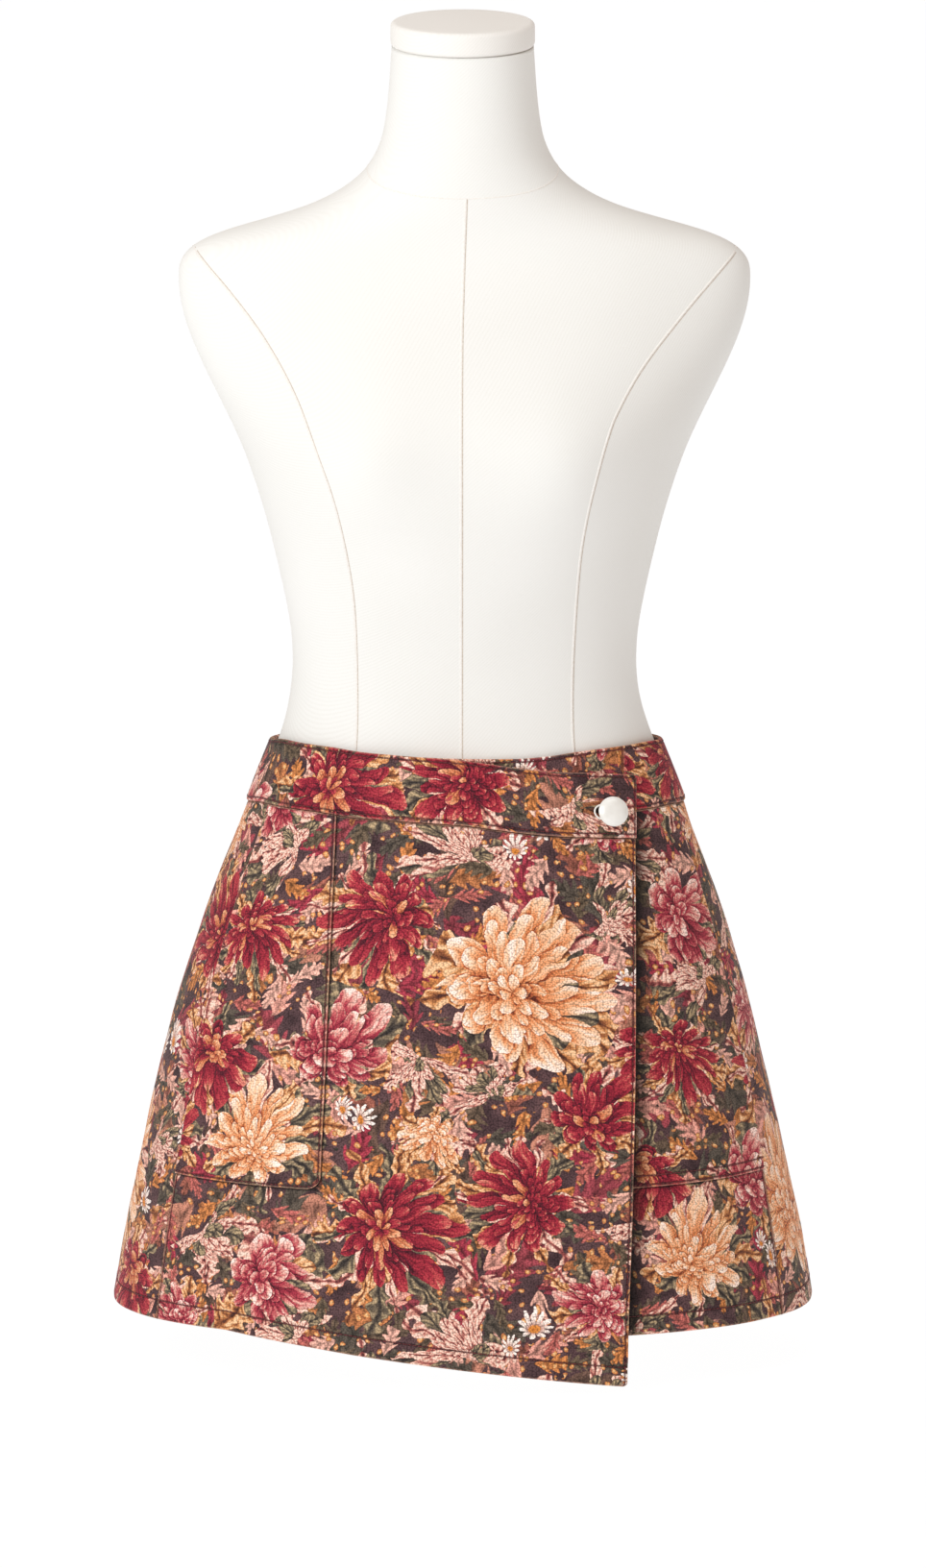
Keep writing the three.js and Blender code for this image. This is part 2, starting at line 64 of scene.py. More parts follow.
# ---- sizes, as the solids have them

CLOTH = 1.6
BAND_THICKNESS = 3.2
BAND_HEIGHT = 42.3
SEAM_GAP = 0.3
BAND_PROUD = 1.8
BAND_RADIUS = 125.0
LAYER_GAP = 1.0
WAIST = 384.0
HEM = 38.5
HEM_TURN = 13.0
HEM_EXTRA = 1.1
WRAP_SAG = {"centre": 1.0, "blend": 22.0, "slope": 0.165}
WRAP_HEM = {"start": -163.0, "drop": 34.0}
WRAP_EDGE = {"band": 117.0, "hem": 110.8, "straight": 250.0}
WRAP_CORNER = {"band": 5.0, "hem": 3.0}
UNDER_EDGE = {"band": -40.0, "hem": -62.0}
BAND_JOIN = 108.0
LIFT_RUN = {"start": 45.0, "end": 6.0}
EDGE_STAND = {"width": 75.0, "band": 0.5, "skirt": 4.6}
LEFT_SEAM = {"band": -0.915, "hem": -0.877}
RIGHT_SEAM = {"band": 0.962, "hem": 0.92}
POCKET_BOTTOM = 137.0
POCKET_WIDTH = 110.0
POCKET_THICKNESS = 1.4
POCKET_GAP = 0.45
POCKET_EDGE = {"band": 87.0, "bottom": 98.0}
POCKET_CORNER = 9.0
BUTTON = {"x": 99.8, "z": 384.4, "radius": 10.3, "height": 4.4, "clear": 3.4, "tilt": -15.0}
BUTTONHOLE = {"length": 27.0, "width": 9.0, "tail": 1.2, "beyond": 5.0}
LOOP = {"middle": (-8.6, -0.4, 2.1), "reach": (5.7, 4.8, 0.25)}
CAP = {"radius": 48.9, "height": 16.8, "edge": 3.4, "dome": 0.8}
FORM_TOP = 897.7
BUST = {"x": 76.0, "z": 630.0, "rise": 13.0, "width": 46.0, "height": 50.0}
SECTION_POWER = 2.1
FLUTE_TOP = 330.0

# Angle round the waist, and the height of the band's top edge there.
WAIST_LINE = [
    (-180, 416), (-125, 417.5), (-92, 422), (-68, 427.6), (-45, 428), (-28, 426.2), (0, 424.2), (14, 423.8),
    (24, 424.6), (34, 426.2), (46, 426.9), (66, 426.4), (92, 422), (125, 417.5), (180, 416),
]
# Height, then centre x, half width, front depth and back depth.
SKIRT_SECTIONS = [
    (-20, -1.3, 247, 177.5, 187), (38, -1.3, 238, 170, 180), (87, -1.3, 229.8, 163.5, 173.5),
    (137, -1.3, 219.8, 156.5, 167), (186, -1.3, 209, 149.5, 160), (236, -1.3, 197, 141.5, 152),
    (269, -0.8, 187.6, 135, 145.8), (302, -0.2, 177.5, 127.2, 138), (335, 0, 165.5, 118.5, 128.5),
    (361, 0.3, 155.4, 110.2, 119.8), (384, 1, 147.4, 103.2, 112.2), (401, 1, 141, 97.2, 106),
    (414, 1, 135.8, 93.2, 101.2), (428, 1, 130.2, 88.8, 96.2),
]
# Angle, width and depth of each soft upright flute.
FLUTES = [
    (-108, 11, 4), (-136, 12, 7), (-169, 14, 5.5), (158, 13, 7.5), (126, 12, 5.5), (102, 9, 2.5),
    (62, 8, -2.5), (-32, 13, 2),
]
FORM_SECTIONS = [
    (0, 0, 71, 43, 47), (3, 0, 74, 46, 50), (45, 0, 90, 62, 68), (110, 0, 119, 86, 93),
    (175, 0, 145, 103, 112), (235, 0, 159, 110, 124), (285, 0, 163.5, 112, 126.5),
    (335, 0.3, 155.5, 107.5, 118), (380, 1, 143.9, 99.9, 108.8), (403, 1, 134.6, 91.8, 100),
    (427, 1, 124.6, 84.2, 91.4), (454, 0, 117.7, 80.5, 86.5), (474, 0, 115.9, 80, 85),
    (494, 0, 116.8, 82, 85.5), (520, 0, 121.2, 87.5, 88), (546, 0, 127, 94, 91.5), (573, 0, 133.6, 100, 95),
    (599, 0, 141.4, 104.5, 98.5), (625, 0, 150.6, 105.5, 101.5), (652, 0, 163.2, 101, 102.5),
    (678, 0, 176, 91, 100), (705, 0, 187.4, 78, 93.5), (731, 0, 193.5, 64, 83), (744, 0, 193.8, 57.5, 76),
    (753, 0, 190.8, 53.5, 71), (761, 0, 183, 51, 67), (768.5, 0, 167, 49.5, 63.5),
    (777.5, -0.3, 135, 49, 60), (786, -1, 107.6, 49.5, 57.5), (797.3, -1.2, 84.5, 50, 55.5),
    (810.5, -1.2, 68, 50, 54), (824, -1.2, 59, 49.5, 52.5), (838, -1.2, 54, 49, 51),
    (864, -1.2, 50.4, 48.6, 49.6), (897.7, -1.2, 48.1, 48.1, 48.1),
]

# ---- curves and sections


def lerp(a, b, t):
    return a + (b - a) * t


def smoothstep(value, low, high):
    t = np.clip((value - low) / (high - low), 0, 1)
    return t * t * (3 - 2 * t)


def curve(rows, column):
    """A smooth curve through one column of a table against its first, with no overshoot."""
    at = np.array([row[0] for row in rows], float)
    value = np.array([row[column] for row in rows], float)
    slope = np.diff(value) / np.diff(at)
    before, after = slope[:-1], slope[1:]
    same = before * after > 0
    inner = np.where(same, 2 * before * after / np.where(same, before + after, 1), 0)
    tangent = np.concatenate([slope[:1], inner, slope[-1:]])

    def along(place):
        place = np.asarray(place, float)
        k = np.clip(np.searchsorted(at, place, side="right") - 1, 0, len(at) - 2)
        span = at[k + 1] - at[k]
        t = np.clip((place - at[k]) / span, 0, 1)
        bend = tangent[k] * t * (1 - t) ** 2 - tangent[k + 1] * t * t * (1 - t)
        return lerp(value[k], value[k + 1], t * t * (3 - 2 * t)) + span * bend

    return along


skirt_curves = [curve(SKIRT_SECTIONS, column) for column in (1, 2, 3, 4)]


def skirt_section(z):
    return [part(z) for part in skirt_curves]


def soften(values, step, radius):
    """Evens out a column of values that are `step` apart, over about that radius."""
    reach = int(4 * radius / step)
    weight = np.exp(-((np.arange(-reach, reach + 1) * step / radius) ** 2) / 2)
    padded = np.pad(values, reach, mode="reflect", reflect_type="odd")
    return np.convolve(padded, weight / weight.sum(), mode="valid")


# The form's sections, evened out so that no ring shows: more below the shoulders than over them.
FORM_HEIGHTS = np.arange(0, FORM_TOP + 0.05, 0.5)
form_columns = []
for column in (1, 2, 3, 4):
    raw = curve(FORM_SECTIONS, column)(FORM_HEIGHTS)
    share = smoothstep(FORM_HEIGHTS, 725, 752)
    form_columns.append(lerp(soften(raw, 0.5, 9), soften(raw, 0.5, 3.2), share))


def form_section(z):
    return [np.interp(z, FORM_HEIGHTS, column) for column in form_columns]


def on_section(section, theta):
    centre, side, front, back = section
    s, c = np.sin(theta), np.cos(theta)
    x = centre + side * np.sign(s) * np.abs(s) ** (2 / SECTION_POWER)
    return x, np.where(c > 0, -front, back) * np.abs(c) ** (2 / SECTION_POWER)


def front_angle(section, x):
    """The angle, on the front half of a section, that has that x."""
    share = np.clip((x - section[0]) / section[1], -1, 1)
    return np.sign(share) * np.arcsin(np.abs(share) ** (SECTION_POWER / 2))


def wrapped(theta):
    return np.arctan2(np.sin(theta), np.cos(theta))


def flute(theta, z):
    growth = np.clip((FLUTE_TOP - z) / (FLUTE_TOP - HEM), 0, 1) ** 1.6
    return sum(
        depth * growth * np.exp(-((wrapped(theta - math.radians(angle)) / math.radians(width)) ** 2))
        for angle, width, depth in FLUTES
    )


def ease(theta, z):
    """The slow swells and small hollows of a heavy cloth, which fade out at the waist seam."""
    growth = smoothstep(WAIST - 18 - z, 0, 110)
    slow = 0.55 * np.sin(5.3 * theta + 0.013 * z + 0.6) * np.sin(0.021 * z + 1.7 * theta + 1.1)
    middle = 0.33 * np.sin(11.7 * theta - 0.031 * z + 2.2) * np.cos(0.044 * z - 3.1 * theta)
    small = 0.13 * np.sin(31 * theta + 0.07 * z) * np.sin(0.12 * z - 9 * theta + 0.4)
    return growth * (slow + middle) + (0.35 + 0.65 * growth) * small


def bare(theta, z):
    theta, z = np.broadcast_arrays(np.asarray(theta, float), np.asarray(z, float))
    x, y = on_section(skirt_section(z), theta)
    return np.stack([x, y, z], axis=-1)


def unit(vectors):
    return vectors / np.linalg.norm(vectors, axis=-1, keepdims=True)


def outward(theta, z, surface=bare, top=math.inf):
    around = surface(theta + 0.01, z) - surface(theta - 0.01, z)
    upward = surface(theta, np.minimum(z + 1, top)) - surface(theta, z - 1)
    return unit(np.cross(around, upward))


def skirt_point(theta, z, out, relief=True):
    extra = flute(theta, z) + (ease(theta, z) if relief else 0)
    return bare(theta, z) + outward(theta, z) * np.asarray(out + extra)[..., None]


def angle_at(x, z, out=0.0):
    """The angle, on the front half, at which the surface moved out by `out` has that x."""
    wanted = np.asarray(x, float)
    for _ in range(4):
        theta = front_angle(skirt_section(z), wanted)
        wanted = x - (skirt_point(theta, z, out, relief=False)[..., 0] - bare(theta, z)[..., 0])
    return theta


# ---- edges of the pieces

waist_top = curve(WAIST_LINE, 1)


def band_top(theta):
    return waist_top(np.degrees(wrapped(theta)))


def band_bottom(theta):
    return band_top(theta) - BAND_HEIGHT


def skirt_share(z):
    return np.clip((WAIST - z) / (WAIST - HEM), 0, 1)


def side_seam(z, share):
    """Where a side seam runs, from its share of the half width at the band to that at the hem."""
    centre, side, _, _ = skirt_section(z)
    return angle_at(centre + lerp(share["band"], share["hem"], skirt_share(z)) * side, z)


left_seam = partial(side_seam, share=LEFT_SEAM)
right_seam = partial(side_seam, share=RIGHT_SEAM)


def beside(seam, gaps, turn=0.0):
    """A line beside a seam's own, that many sewing gaps away, on that turn round the form."""
    return lambda z: turn + seam(z) + gaps * SEAM_GAP / skirt_section(z)[1]


def under_edge_x(z):
    return lerp(UNDER_EDGE["band"], UNDER_EDGE["hem"], skirt_share(z))


def wrap_edge_x(z):
    return lerp(WRAP_EDGE["hem"], WRAP_EDGE["band"], smoothstep(z, -HEM, WRAP_EDGE["straight"]))


def wrap_sag(x):
    past = x - WRAP_SAG["centre"]
    return WRAP_SAG["slope"] * (np.hypot(past, WRAP_SAG["blend"]) + past) / 2


def wrap_hem(x):
    fall = (x - WRAP_HEM["start"]) / (WRAP_EDGE["hem"] - WRAP_HEM["start"])
    return HEM - WRAP_HEM["drop"] * np.clip(fall, 0, 1.02)


def corner_cut(distance, radius):
    inside = np.clip(radius - distance, 0, radius)
    return radius - np.sqrt(radius**2 - inside**2)


def wrap_lift(x, z):
    edge = under_edge_x(z)
    climb = smoothstep(x, edge - LIFT_RUN["start"], edge - LIFT_RUN["end"])
    stand = lerp(EDGE_STAND["band"], EDGE_STAND["skirt"], np.clip((WAIST - 20 - z) / 120, 0, 1))
    near = smoothstep(x, wrap_edge_x(z) - EDGE_STAND["width"], wrap_edge_x(z))
    return (BAND_THICKNESS + LAYER_GAP) * climb + stand * near**1.5


def wrap_edge(z):
    return angle_at(wrap_edge_x(z), z, wrap_lift(wrap_edge_x(z), z))


def under_edge(z):
    return angle_at(under_edge_x(z), z)


def panel_out(x, z):
    return -BAND_PROUD + 0 * x


def wrap_out(x, z):
    return -BAND_PROUD + wrap_lift(x, z)


def panel_top(theta):
    return band_bottom(theta) - SEAM_GAP


def wrap_top(theta):
    return panel_top(theta) - wrap_sag(bare(theta, WAIST)[..., 0])


def level_hem(x, u):
    return HEM + 0 * x


def falling_hem(x, u):
    return wrap_hem(x) + corner_cut((1 - u) * (WRAP_EDGE["hem"] - WRAP_HEM["start"]), WRAP_CORNER["hem"])


def settle(angle_of, height_of, like):
    """An edge leans with height and a height differs with the angle, so the two are found together."""
    theta = angle_of(np.full(np.shape(like), WAIST))
    z = height_of(theta)
    for _ in range(4):
        theta = angle_of(z)
        z = height_of(theta)
    return theta, z


# ---- where each piece of cloth lies
# Each of these gives a function of (u, v), shares across and up the piece, whose result is the angle,
# the height and how far out the piece's face lies on the shared surface.


def panel(start, end, top, hem, out):
    low = [float(edge(np.array(HEM))) for edge in (start, end)]

    def lay(u, v):
        x_low = bare(lerp(low[0], low[1], u), HEM)[..., 0]
        theta, z = settle(
            lambda height: lerp(start(height), end(height), u),
            lambda angle: lerp(hem(x_low, u), top(angle), v),
            u,
        )
        return theta, z, out(bare(theta, z)[..., 0], z)

    return lay


def pocket_edge(side):
    def edge(z):
        fall = np.clip((WAIST - z) / (WAIST - POCKET_BOTTOM), 0, 1)
        return angle_at(side * lerp(POCKET_EDGE["band"], POCKET_EDGE["bottom"], fall), z)

    return edge


def pocket(seam, edge, under, top):
    def lay(u, v):
        cut = corner_cut((1 - u) * POCKET_WIDTH, POCKET_CORNER)
        theta, z = settle(
            lambda height: lerp(seam(height), edge(height), u),
            lambda angle: lerp(POCKET_BOTTOM + cut, top(angle), v),
            u,
        )
        return theta, z, under(bare(theta, z)[..., 0], z) + POCKET_GAP + POCKET_THICKNESS

    return lay


def strip(start_edge, end_edge, corner):
    """A length of the waistband, whose ends lean only near the ends themselves."""
    middle = np.array(WAIST + BAND_HEIGHT / 2)
    start, end = float(start_edge(middle)), float(end_edge(middle))

    def fade(distance):
        return np.clip(1 - distance / math.radians(45), 0, 1)

    def lay(u, v):
        along = lerp(start, end, u)
        outer = along > -math.pi / 2
        cut = corner_cut((start - along) * BAND_RADIUS, corner)

        def angle_of(height):
            lean_start = (start_edge(height) - start) * fade(start - along)
            return along + lean_start + (end_edge(height) - end) * fade(along - end)

        def height_of(angle):
            sag = np.where(outer, wrap_sag(bare(angle, WAIST)[..., 0]), 0)
            return lerp(band_bottom(angle), band_top(angle) - cut, v) - sag

        theta, z = settle(angle_of, height_of, u)
        return theta, z, np.where(outer, wrap_lift(bare(theta, z)[..., 0], z), 0)

    return lay


def join_angle(gaps):
    return lambda z: angle_at(BAND_JOIN, z) - 2 * math.pi + gaps * SEAM_GAP / BAND_RADIUS


# ---- making meshes


def placed(name, data):
    """An object with that data, in the scene."""
    made = bpy.data.objects.new(name, data)
    bpy.context.scene.collection.objects.link(made)
    return made


def make_object(name, points, faces):
    """A smooth mesh object from points in millimetres."""
    mesh = bpy.data.meshes.new(name)
    mesh.from_pydata((np.asarray(points) * MM).tolist(), [], [list(map(int, face)) for face in faces])
    mesh.polygons.foreach_set("use_smooth", [True] * len(mesh.polygons))
    mesh.update()
    return placed(name, mesh)


def settle_on_body(piece, slot, *nodes):
    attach(piece, "root" if "root" in frame["bodies"] else next(iter(frame["bodies"])))
    if nodes:
        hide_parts(*nodes)
    return piece


ROLL = np.array([0, 0.06, 0.2, 0.42, 0.75, 1.2, 1.9])  # mm in from an edge, where rows crowd to round it
FURROW = np.arange(-1.8, 1.9, 0.6)  # mm to each side of a row of stitches, where rows crowd to press it in


def crowded(length, step, furrows):
    """Shares of a length, `step` mm apart, with rows close together at its two edges and in its furrows."""
    close = [ROLL, length - ROLL, *(at + FURROW for at in furrows)]
    close = np.unique(np.round(np.clip(np.concatenate(close), 0, length), 3))
    close = close[np.concatenate([[True], np.diff(close) > 0.05])]
    even = np.linspace(0, length, int(round(length / step)) + 1)
    even = even[np.abs(even[:, None] - close).min(axis=1) > 0.6 * min(step, 1.2)]
    return np.sort(np.concatenate([close, even])) / length


def row_lengths(points):
    """The length of the rows across a grid of points, and of the columns up it."""
    across = np.linalg.norm(np.diff(points, axis=0), axis=-1).sum(axis=0)
    up = np.linalg.norm(np.diff(points, axis=1), axis=-1).sum(axis=1)
    return across[None, :], up[:, None]


NOWHERE = 99.0  # mm, for a point that is beside nothing
# How a row of stitches presses the cloth, in mm: its depth and width, and the ripple beside it.
PRESS = {"depth": 0.42, "width": 1.0, "ripple": 0.10, "pitch": 7.3, "drift": 23.0, "reach": 4.5, "fade": 0.8}


def dented(away, stitched, along):
    """How far in the rows of stitches press the wall's face."""
    dent = 0.0
    for side, inset, _ in stitched:
        line = away[side] - inset
        run = along["up" if side in ("start", "end") else "across"]
        ripple = np.sin(run * 2 * math.pi / PRESS["pitch"] + 1.7 * np.sin(run / PRESS["drift"]))
        dent += PRESS["depth"] * np.exp(-((line / PRESS["width"]) ** 2))
        dent -= PRESS["ripple"] * ripple * np.exp(-((line / PRESS["reach"]) ** 2))
    return dent * np.clip(np.minimum.reduce(list(away.values())) / PRESS["fade"], 0, 1)


def quads(grid, turn):
    """The faces of a grid of point numbers."""
    a, b, c, d = grid[:-1, :-1], grid[1:, :-1], grid[1:, 1:], grid[:-1, 1:]
    return np.stack([part.ravel() for part in ((a, d, c, b) if turn else (a, b, c, d))], axis=1)


def shell(name, lay, size, step, thickness, cut, stitched, turned=0.0, inside_out=False, shade_reach=None, joined=()):
    """A closed wall of cloth with rolled edges, pressed in along its rows of stitches.

    `stitched` lists (side, mm from it, shares of it) for each row. `cut` gives the flat cloth's own
    coordinates, in mm. `turned` is the depth of a turned-up hem, which is thicker on the inside. An
    optional function gives, for a place, how many mm it lies out from under the wrap's edge and from
    under a pocket, and there the cloth's colour is darkened as painted shadow and painted shade.
    `joined` are the sides that another piece is sewn to, beside which painted shade darkens the cloth.
    """
    us, vs = (
        crowded(length, gap, [
            mm if side == low else length - mm for side, mm, _ in stitched if side in (low, high)
        ])
        for length, gap, (low, high) in zip(size, step, (("start", "end"), ("bottom", "top")))
    )
    u, v = np.meshgrid(us, vs, indexing="ij")
    theta, z, out = lay(u, v)
    across, up = row_lengths(skirt_point(theta, z, out))
    away = {"start": u * across, "end": (1 - u) * across, "bottom": v * up, "top": (1 - v) * up}
    nearest = np.minimum.reduce(list(away.values()))
    depth = np.full(u.shape, thickness)
    if turned:
        depth = depth + HEM_EXTRA * smoothstep(away["bottom"], turned + 1.2, turned)
    half = depth / 2
    roll = half * (1 - np.sqrt(1 - (1 - np.clip(nearest / half, 0, 1)) ** 2))
    dent = dented(away, stitched, {"across": u * across, "up": v * up})
    outer = skirt_point(theta, z, out - roll - dent)
    inner = skirt_point(theta, z, out - depth + roll - 0.3 * dent)
    columns, rows = u.shape
    number = np.arange(columns * rows).reshape(columns, rows)
    inside = number[1:-1, 1:-1].ravel()
    back_number = number.copy()
    back_number[1:-1, 1:-1] = columns * rows + np.arange(len(inside)).reshape(columns - 2, rows - 2)

    def both_faces(*parts):
        """Values for the face's points, then the same for the points behind them."""
        values = np.stack(parts, axis=-1).reshape(-1, len(parts))
        return np.concatenate([values, values[inside]])

    front_faces, back_faces = quads(number, inside_out), quads(back_number, not inside_out)
    points = np.concatenate([outer.reshape(-1, 3), inner.reshape(-1, 3)[inside]])
    piece = make_object(name, points, np.concatenate([front_faces, back_faces]))
    mesh = piece.data
    mesh["reverse_from"] = len(front_faces)
    loops = np.zeros(len(mesh.loops), np.int32)
    mesh.loops.foreach_get("vertex_index", loops)
    flat = both_faces(*cut(u, v, theta, z))
    mesh.uv_layers.new(name="cut").data.foreach_set("uv", (flat[loops] * MM).astype(np.float32).ravel())
    # Attributes for the material: the distance to the nearest edge, for the rubbed-pale edges; the distances
    # to the rows of stitches, for painted shade in their furrows; and the distances out from under the wrap's
    # edge and from a sewn-on piece or pocket, for painted shadow and painted shade.
    nowhere = np.full(u.shape, NOWHERE)
    lines = [*(away[side] - inset for side, inset, _ in stitched), nowhere, nowhere, nowhere]
    wrap_shadow_reach, pocket_shade_reach = shade_reach(bare(theta, z)[..., 0], z) if shade_reach else (nowhere, nowhere)
    seam_shade_reach = np.minimum.reduce([pocket_shade_reach, *(away[side] for side in joined)])
    for label, parts in (("fold", [nearest]), ("rows", lines[:3]), ("shade_reach", [wrap_shadow_reach, seam_shade_reach, nowhere])):
        kind, field = ("FLOAT", "value") if len(parts) == 1 else ("FLOAT_VECTOR", "vector")
        values = both_faces(*parts).astype(np.float32).ravel()
        mesh.attributes.new(label, kind, "POINT").data.foreach_set(field, values)
    return piece, (across, up, us, vs)


def flat_extent(piece):
    """Width, length and area of the flat cloth, in metres, from the cut of the piece's right side."""
    mesh = piece.data
    loops = np.zeros(len(mesh.loops) * 2, np.float32)
    mesh.uv_layers["cut"].data.foreach_get("uv", loops)
    x, y = loops.reshape(-1, 4, 2)[: mesh["reverse_from"]].astype(float).transpose(2, 0, 1)
    area = np.abs((x * np.roll(y, -1, 1) - np.roll(x, -1, 1) * y).sum(1) / 2).sum()
    return float(np.ptp(x)), float(np.ptp(y)), float(area)


# ---- the flat cut

WAIST_ANGLES = np.radians(np.arange(-540, 541, 1.0))
waist_ring = bare(WAIST_ANGLES, WAIST)
WAIST_RUN = np.concatenate([[0], np.cumsum(np.linalg.norm(np.diff(waist_ring, axis=0), axis=1))])
WAIST_RUN -= np.interp(0, WAIST_ANGLES, WAIST_RUN)
FLARE_RADIUS = 573.0  # of the waist edge in the flat cut: the cloth is a sector of a ring
SLANT = 1.034  # length down the slope for each millimetre of height
BAND_EASE = 0.96  # the band's length for each millimetre of the waist seam, because it leans in


def waist_run(theta):
    """How far round the waist seam an angle is, in mm."""
    return np.interp(theta, WAIST_ANGLES, WAIST_RUN)


def flared_cut(grain, shift):
    """Flat coordinates on a flared panel whose straight grain runs down at that angle."""

    def cut(u, v, theta, z):
        turn = (waist_run(theta) - waist_run(grain)) / FLARE_RADIUS
        radius = FLARE_RADIUS + (WAIST - z) * SLANT
        return radius * np.sin(turn) + shift[0], FLARE_RADIUS - radius * np.cos(turn) + shift[1]

    return cut


def band_cut(shift):
    """Flat coordinates on the straight strip of the band."""

    def cut(u, v, theta, z):
        return waist_run(theta) * BAND_EASE + shift[0], v * BAND_HEIGHT + shift[1]

    return cut


# ---- the garment


# These give a place's distances out from under the wrap's free edge and past a pocket's edges, which set
# where the cloth's colour is darkened as painted shadow and painted shade.
def beyond_wrap(x, z):
    """Out from under the wrap's free edge, and beyond the right pocket's lower edge."""
    return x - wrap_edge_x(z), POCKET_BOTTOM - z


def beyond_left_pocket(x, z):
    edge = -lerp(POCKET_EDGE["band"], POCKET_EDGE["bottom"], (WAIST - z) / (WAIST - POCKET_BOTTOM))
    return NOWHERE + 0 * x, np.maximum(x - edge, POCKET_BOTTOM - z)


def under_wrap(x, z):
    return x - wrap_edge_x(z), NOWHERE + 0 * x


STEP = 2.4  # mm between the rows of points in the cloth
PANEL = {"step": (STEP, STEP), "thickness": CLOTH, "turned": HEM_TURN, "joined": ("top",)}
BAND = {"step": (STEP, 2.0), "thickness": BAND_THICKNESS, "inside_out": True}
PATCH = {"size": (POCKET_WIDTH, 245), "step": (STEP, STEP), "thickness": POCKET_THICKNESS, "joined": ("top",)}
wall_rows = {
    "back_cloth": dict(
        PANEL,
        lay=panel(
            beside(right_seam, 0.6), beside(left_seam, -0.6, 2 * math.pi), panel_top, level_hem, panel_out
        ),
        size=(560, 350), step=(3.0, 3.0),
        cut=flared_cut(math.pi, (40, -60)), joined=("start", "end", "top"), replaces="back",
        stitched=[("bottom", 13, (0.001, 0.999))],
    ),
    "front_under_cloth": dict(
        PANEL,
        lay=panel(under_edge, beside(right_seam, -0.6), panel_top, level_hem, panel_out),
        size=(270, 350), cut=flared_cut(0.0, (-23, -87)), shade_reach=beyond_wrap, replaces="front_under",
        stitched=[("bottom", 13, (0.0, 0.995)), ("end", 1.6, (0.004, 1.0))],
    ),
    "front_wrap_cloth": dict(
        PANEL,
        lay=panel(beside(left_seam, 0.6), wrap_edge, wrap_top, falling_hem, wrap_out),
        size=(330, 360), cut=flared_cut(0.0, (-23, -166)), shade_reach=beyond_left_pocket, replaces="front_wrap",
        stitched=[("bottom", 13, (0.005, 0.993)), ("end", 2.2, (0.006, 1.0)), ("start", 1.6, (0.004, 1.0))],
    ),
    "waistband_cloth": dict(
        BAND,
        lay=strip(wrap_edge, join_angle(0.5), WRAP_CORNER["band"]),
        size=(745, BAND_HEIGHT), cut=band_cut((20, -119)), replaces="waistband",
        stitched=[
            ("top", 2.6, (0.003, 0.998)), ("bottom", 2.6, (0.003, 0.998)), ("start", 2.2, (0.06, 0.94)),
        ],
    ),
    "band_under_cloth": dict(
        BAND,
        lay=strip(join_angle(-0.5), lambda z: under_edge(z) - 2 * math.pi, 0.01),
        size=(165, BAND_HEIGHT), cut=band_cut((150, 120)), replaces="band_under",
        stitched=[("top", 2.6, (0.01, 0.99)), ("bottom", 2.6, (0.01, 0.99)), ("start", 1.8, (0.05, 0.95))],
    ),
    "pocket_left_cloth": dict(
        PATCH,
        lay=pocket(beside(left_seam, 4), pocket_edge(-1), wrap_out, wrap_top),
        cut=flared_cut(0.0, (-20, -166)), replaces="pocket_left",
        stitched=[("end", 1.8, (0.01, 1.0)), ("bottom", 1.8, (0.0, 0.985))],
    ),
    "pocket_right_cloth": dict(
        PATCH,
        lay=pocket(beside(right_seam, -4), pocket_edge(1), panel_out, panel_top),
        inside_out=True, cut=flared_cut(0.0, (-11, -81)), shade_reach=under_wrap, replaces="pocket_right",
        stitched=[("end", 1.8, (0.01, 1.0)), ("bottom", 1.8, (0.0, 0.985)), ("bottom", 8, (0.0, 0.985))],
    ),
}

pieces, layouts, cuts = {}, {}, {}
for name, row in wall_rows.items():
    node = row.pop("replaces")
    pieces[name], layouts[name] = shell(name, **row)
    cuts[name] = flat_extent(pieces[name])
    settle_on_body(pieces[name], "floral_cloth", node)

# ---- dress form


def bust_rise(x, z):
    near = (np.abs(x) - BUST["x"]) / BUST["width"]
    high = (z - BUST["z"]) / BUST["height"]
    return BUST["rise"] * np.exp(-(near**2) - high**2)


def form_point(theta, z):
    theta, z = np.broadcast_arrays(np.asarray(theta, float), np.asarray(z, float))
    x, y = on_section(form_section(z), theta)
    y = y - bust_rise(x, z) * np.minimum(1, np.maximum(np.cos(theta), 0) * 2)
    return np.stack([x, y, z], axis=-1)


def closed_rings(name, rings, low, high):
    """A closed mesh from rings of points, one above the other, with a point at each end."""
    count, around, _ = rings.shape
    number = np.arange(count * around).reshape(count, around)
    following = np.roll(number, -1, axis=1)
    walls = np.stack([number[:-1], following[:-1], following[1:], number[1:]], axis=-1).reshape(-1, 4)
    ends = [(count * around, following[0, i], number[0, i]) for i in range(around)]
    ends += [(count * around + 1, number[-1, i], following[-1, i]) for i in range(around)]
    return make_object(name, np.concatenate([rings.reshape(-1, 3), [low, high]]), [*walls.tolist(), *ends])


def form_mesh():
    around = 216
    heights = np.concatenate([
        [0, 0.4, 1.2, 2.2], np.arange(4, 400, 6), np.arange(400, 735, 3.2), np.arange(735, 815, 1.3),
        np.arange(815, FORM_TOP, 3), [FORM_TOP],
    ])
    theta, z = np.meshgrid(np.arange(around) * 2 * math.pi / around, heights, indexing="ij")
    return closed_rings("form_cover", form_point(theta, z).transpose(1, 0, 2), (0, 0, 0), (0, 0, FORM_TOP))


pieces["form_cover"] = settle_on_body(form_mesh(), "form_cover", "form_body")


def moved(points, place):
    """Points carried by a 4 by 4 matrix."""
    place = np.array(place)
    return np.asarray(points) @ place[:3, :3].T + place[:3, 3]


def lathe(name, profile, around, place):
    """A turned piece about its own z axis, from (radius, height) pairs that start and end on the axis."""
    turn = np.arange(around) * 2 * math.pi / around
    rings = [
        [(radius * math.cos(t), radius * math.sin(t), height) for t in turn]
        for radius, height in profile[1:-1]
    ]
    foot, head = (moved((0, 0, profile[end][1]), place) for end in (0, -1))
    return closed_rings(name, moved(rings, place), foot, head)


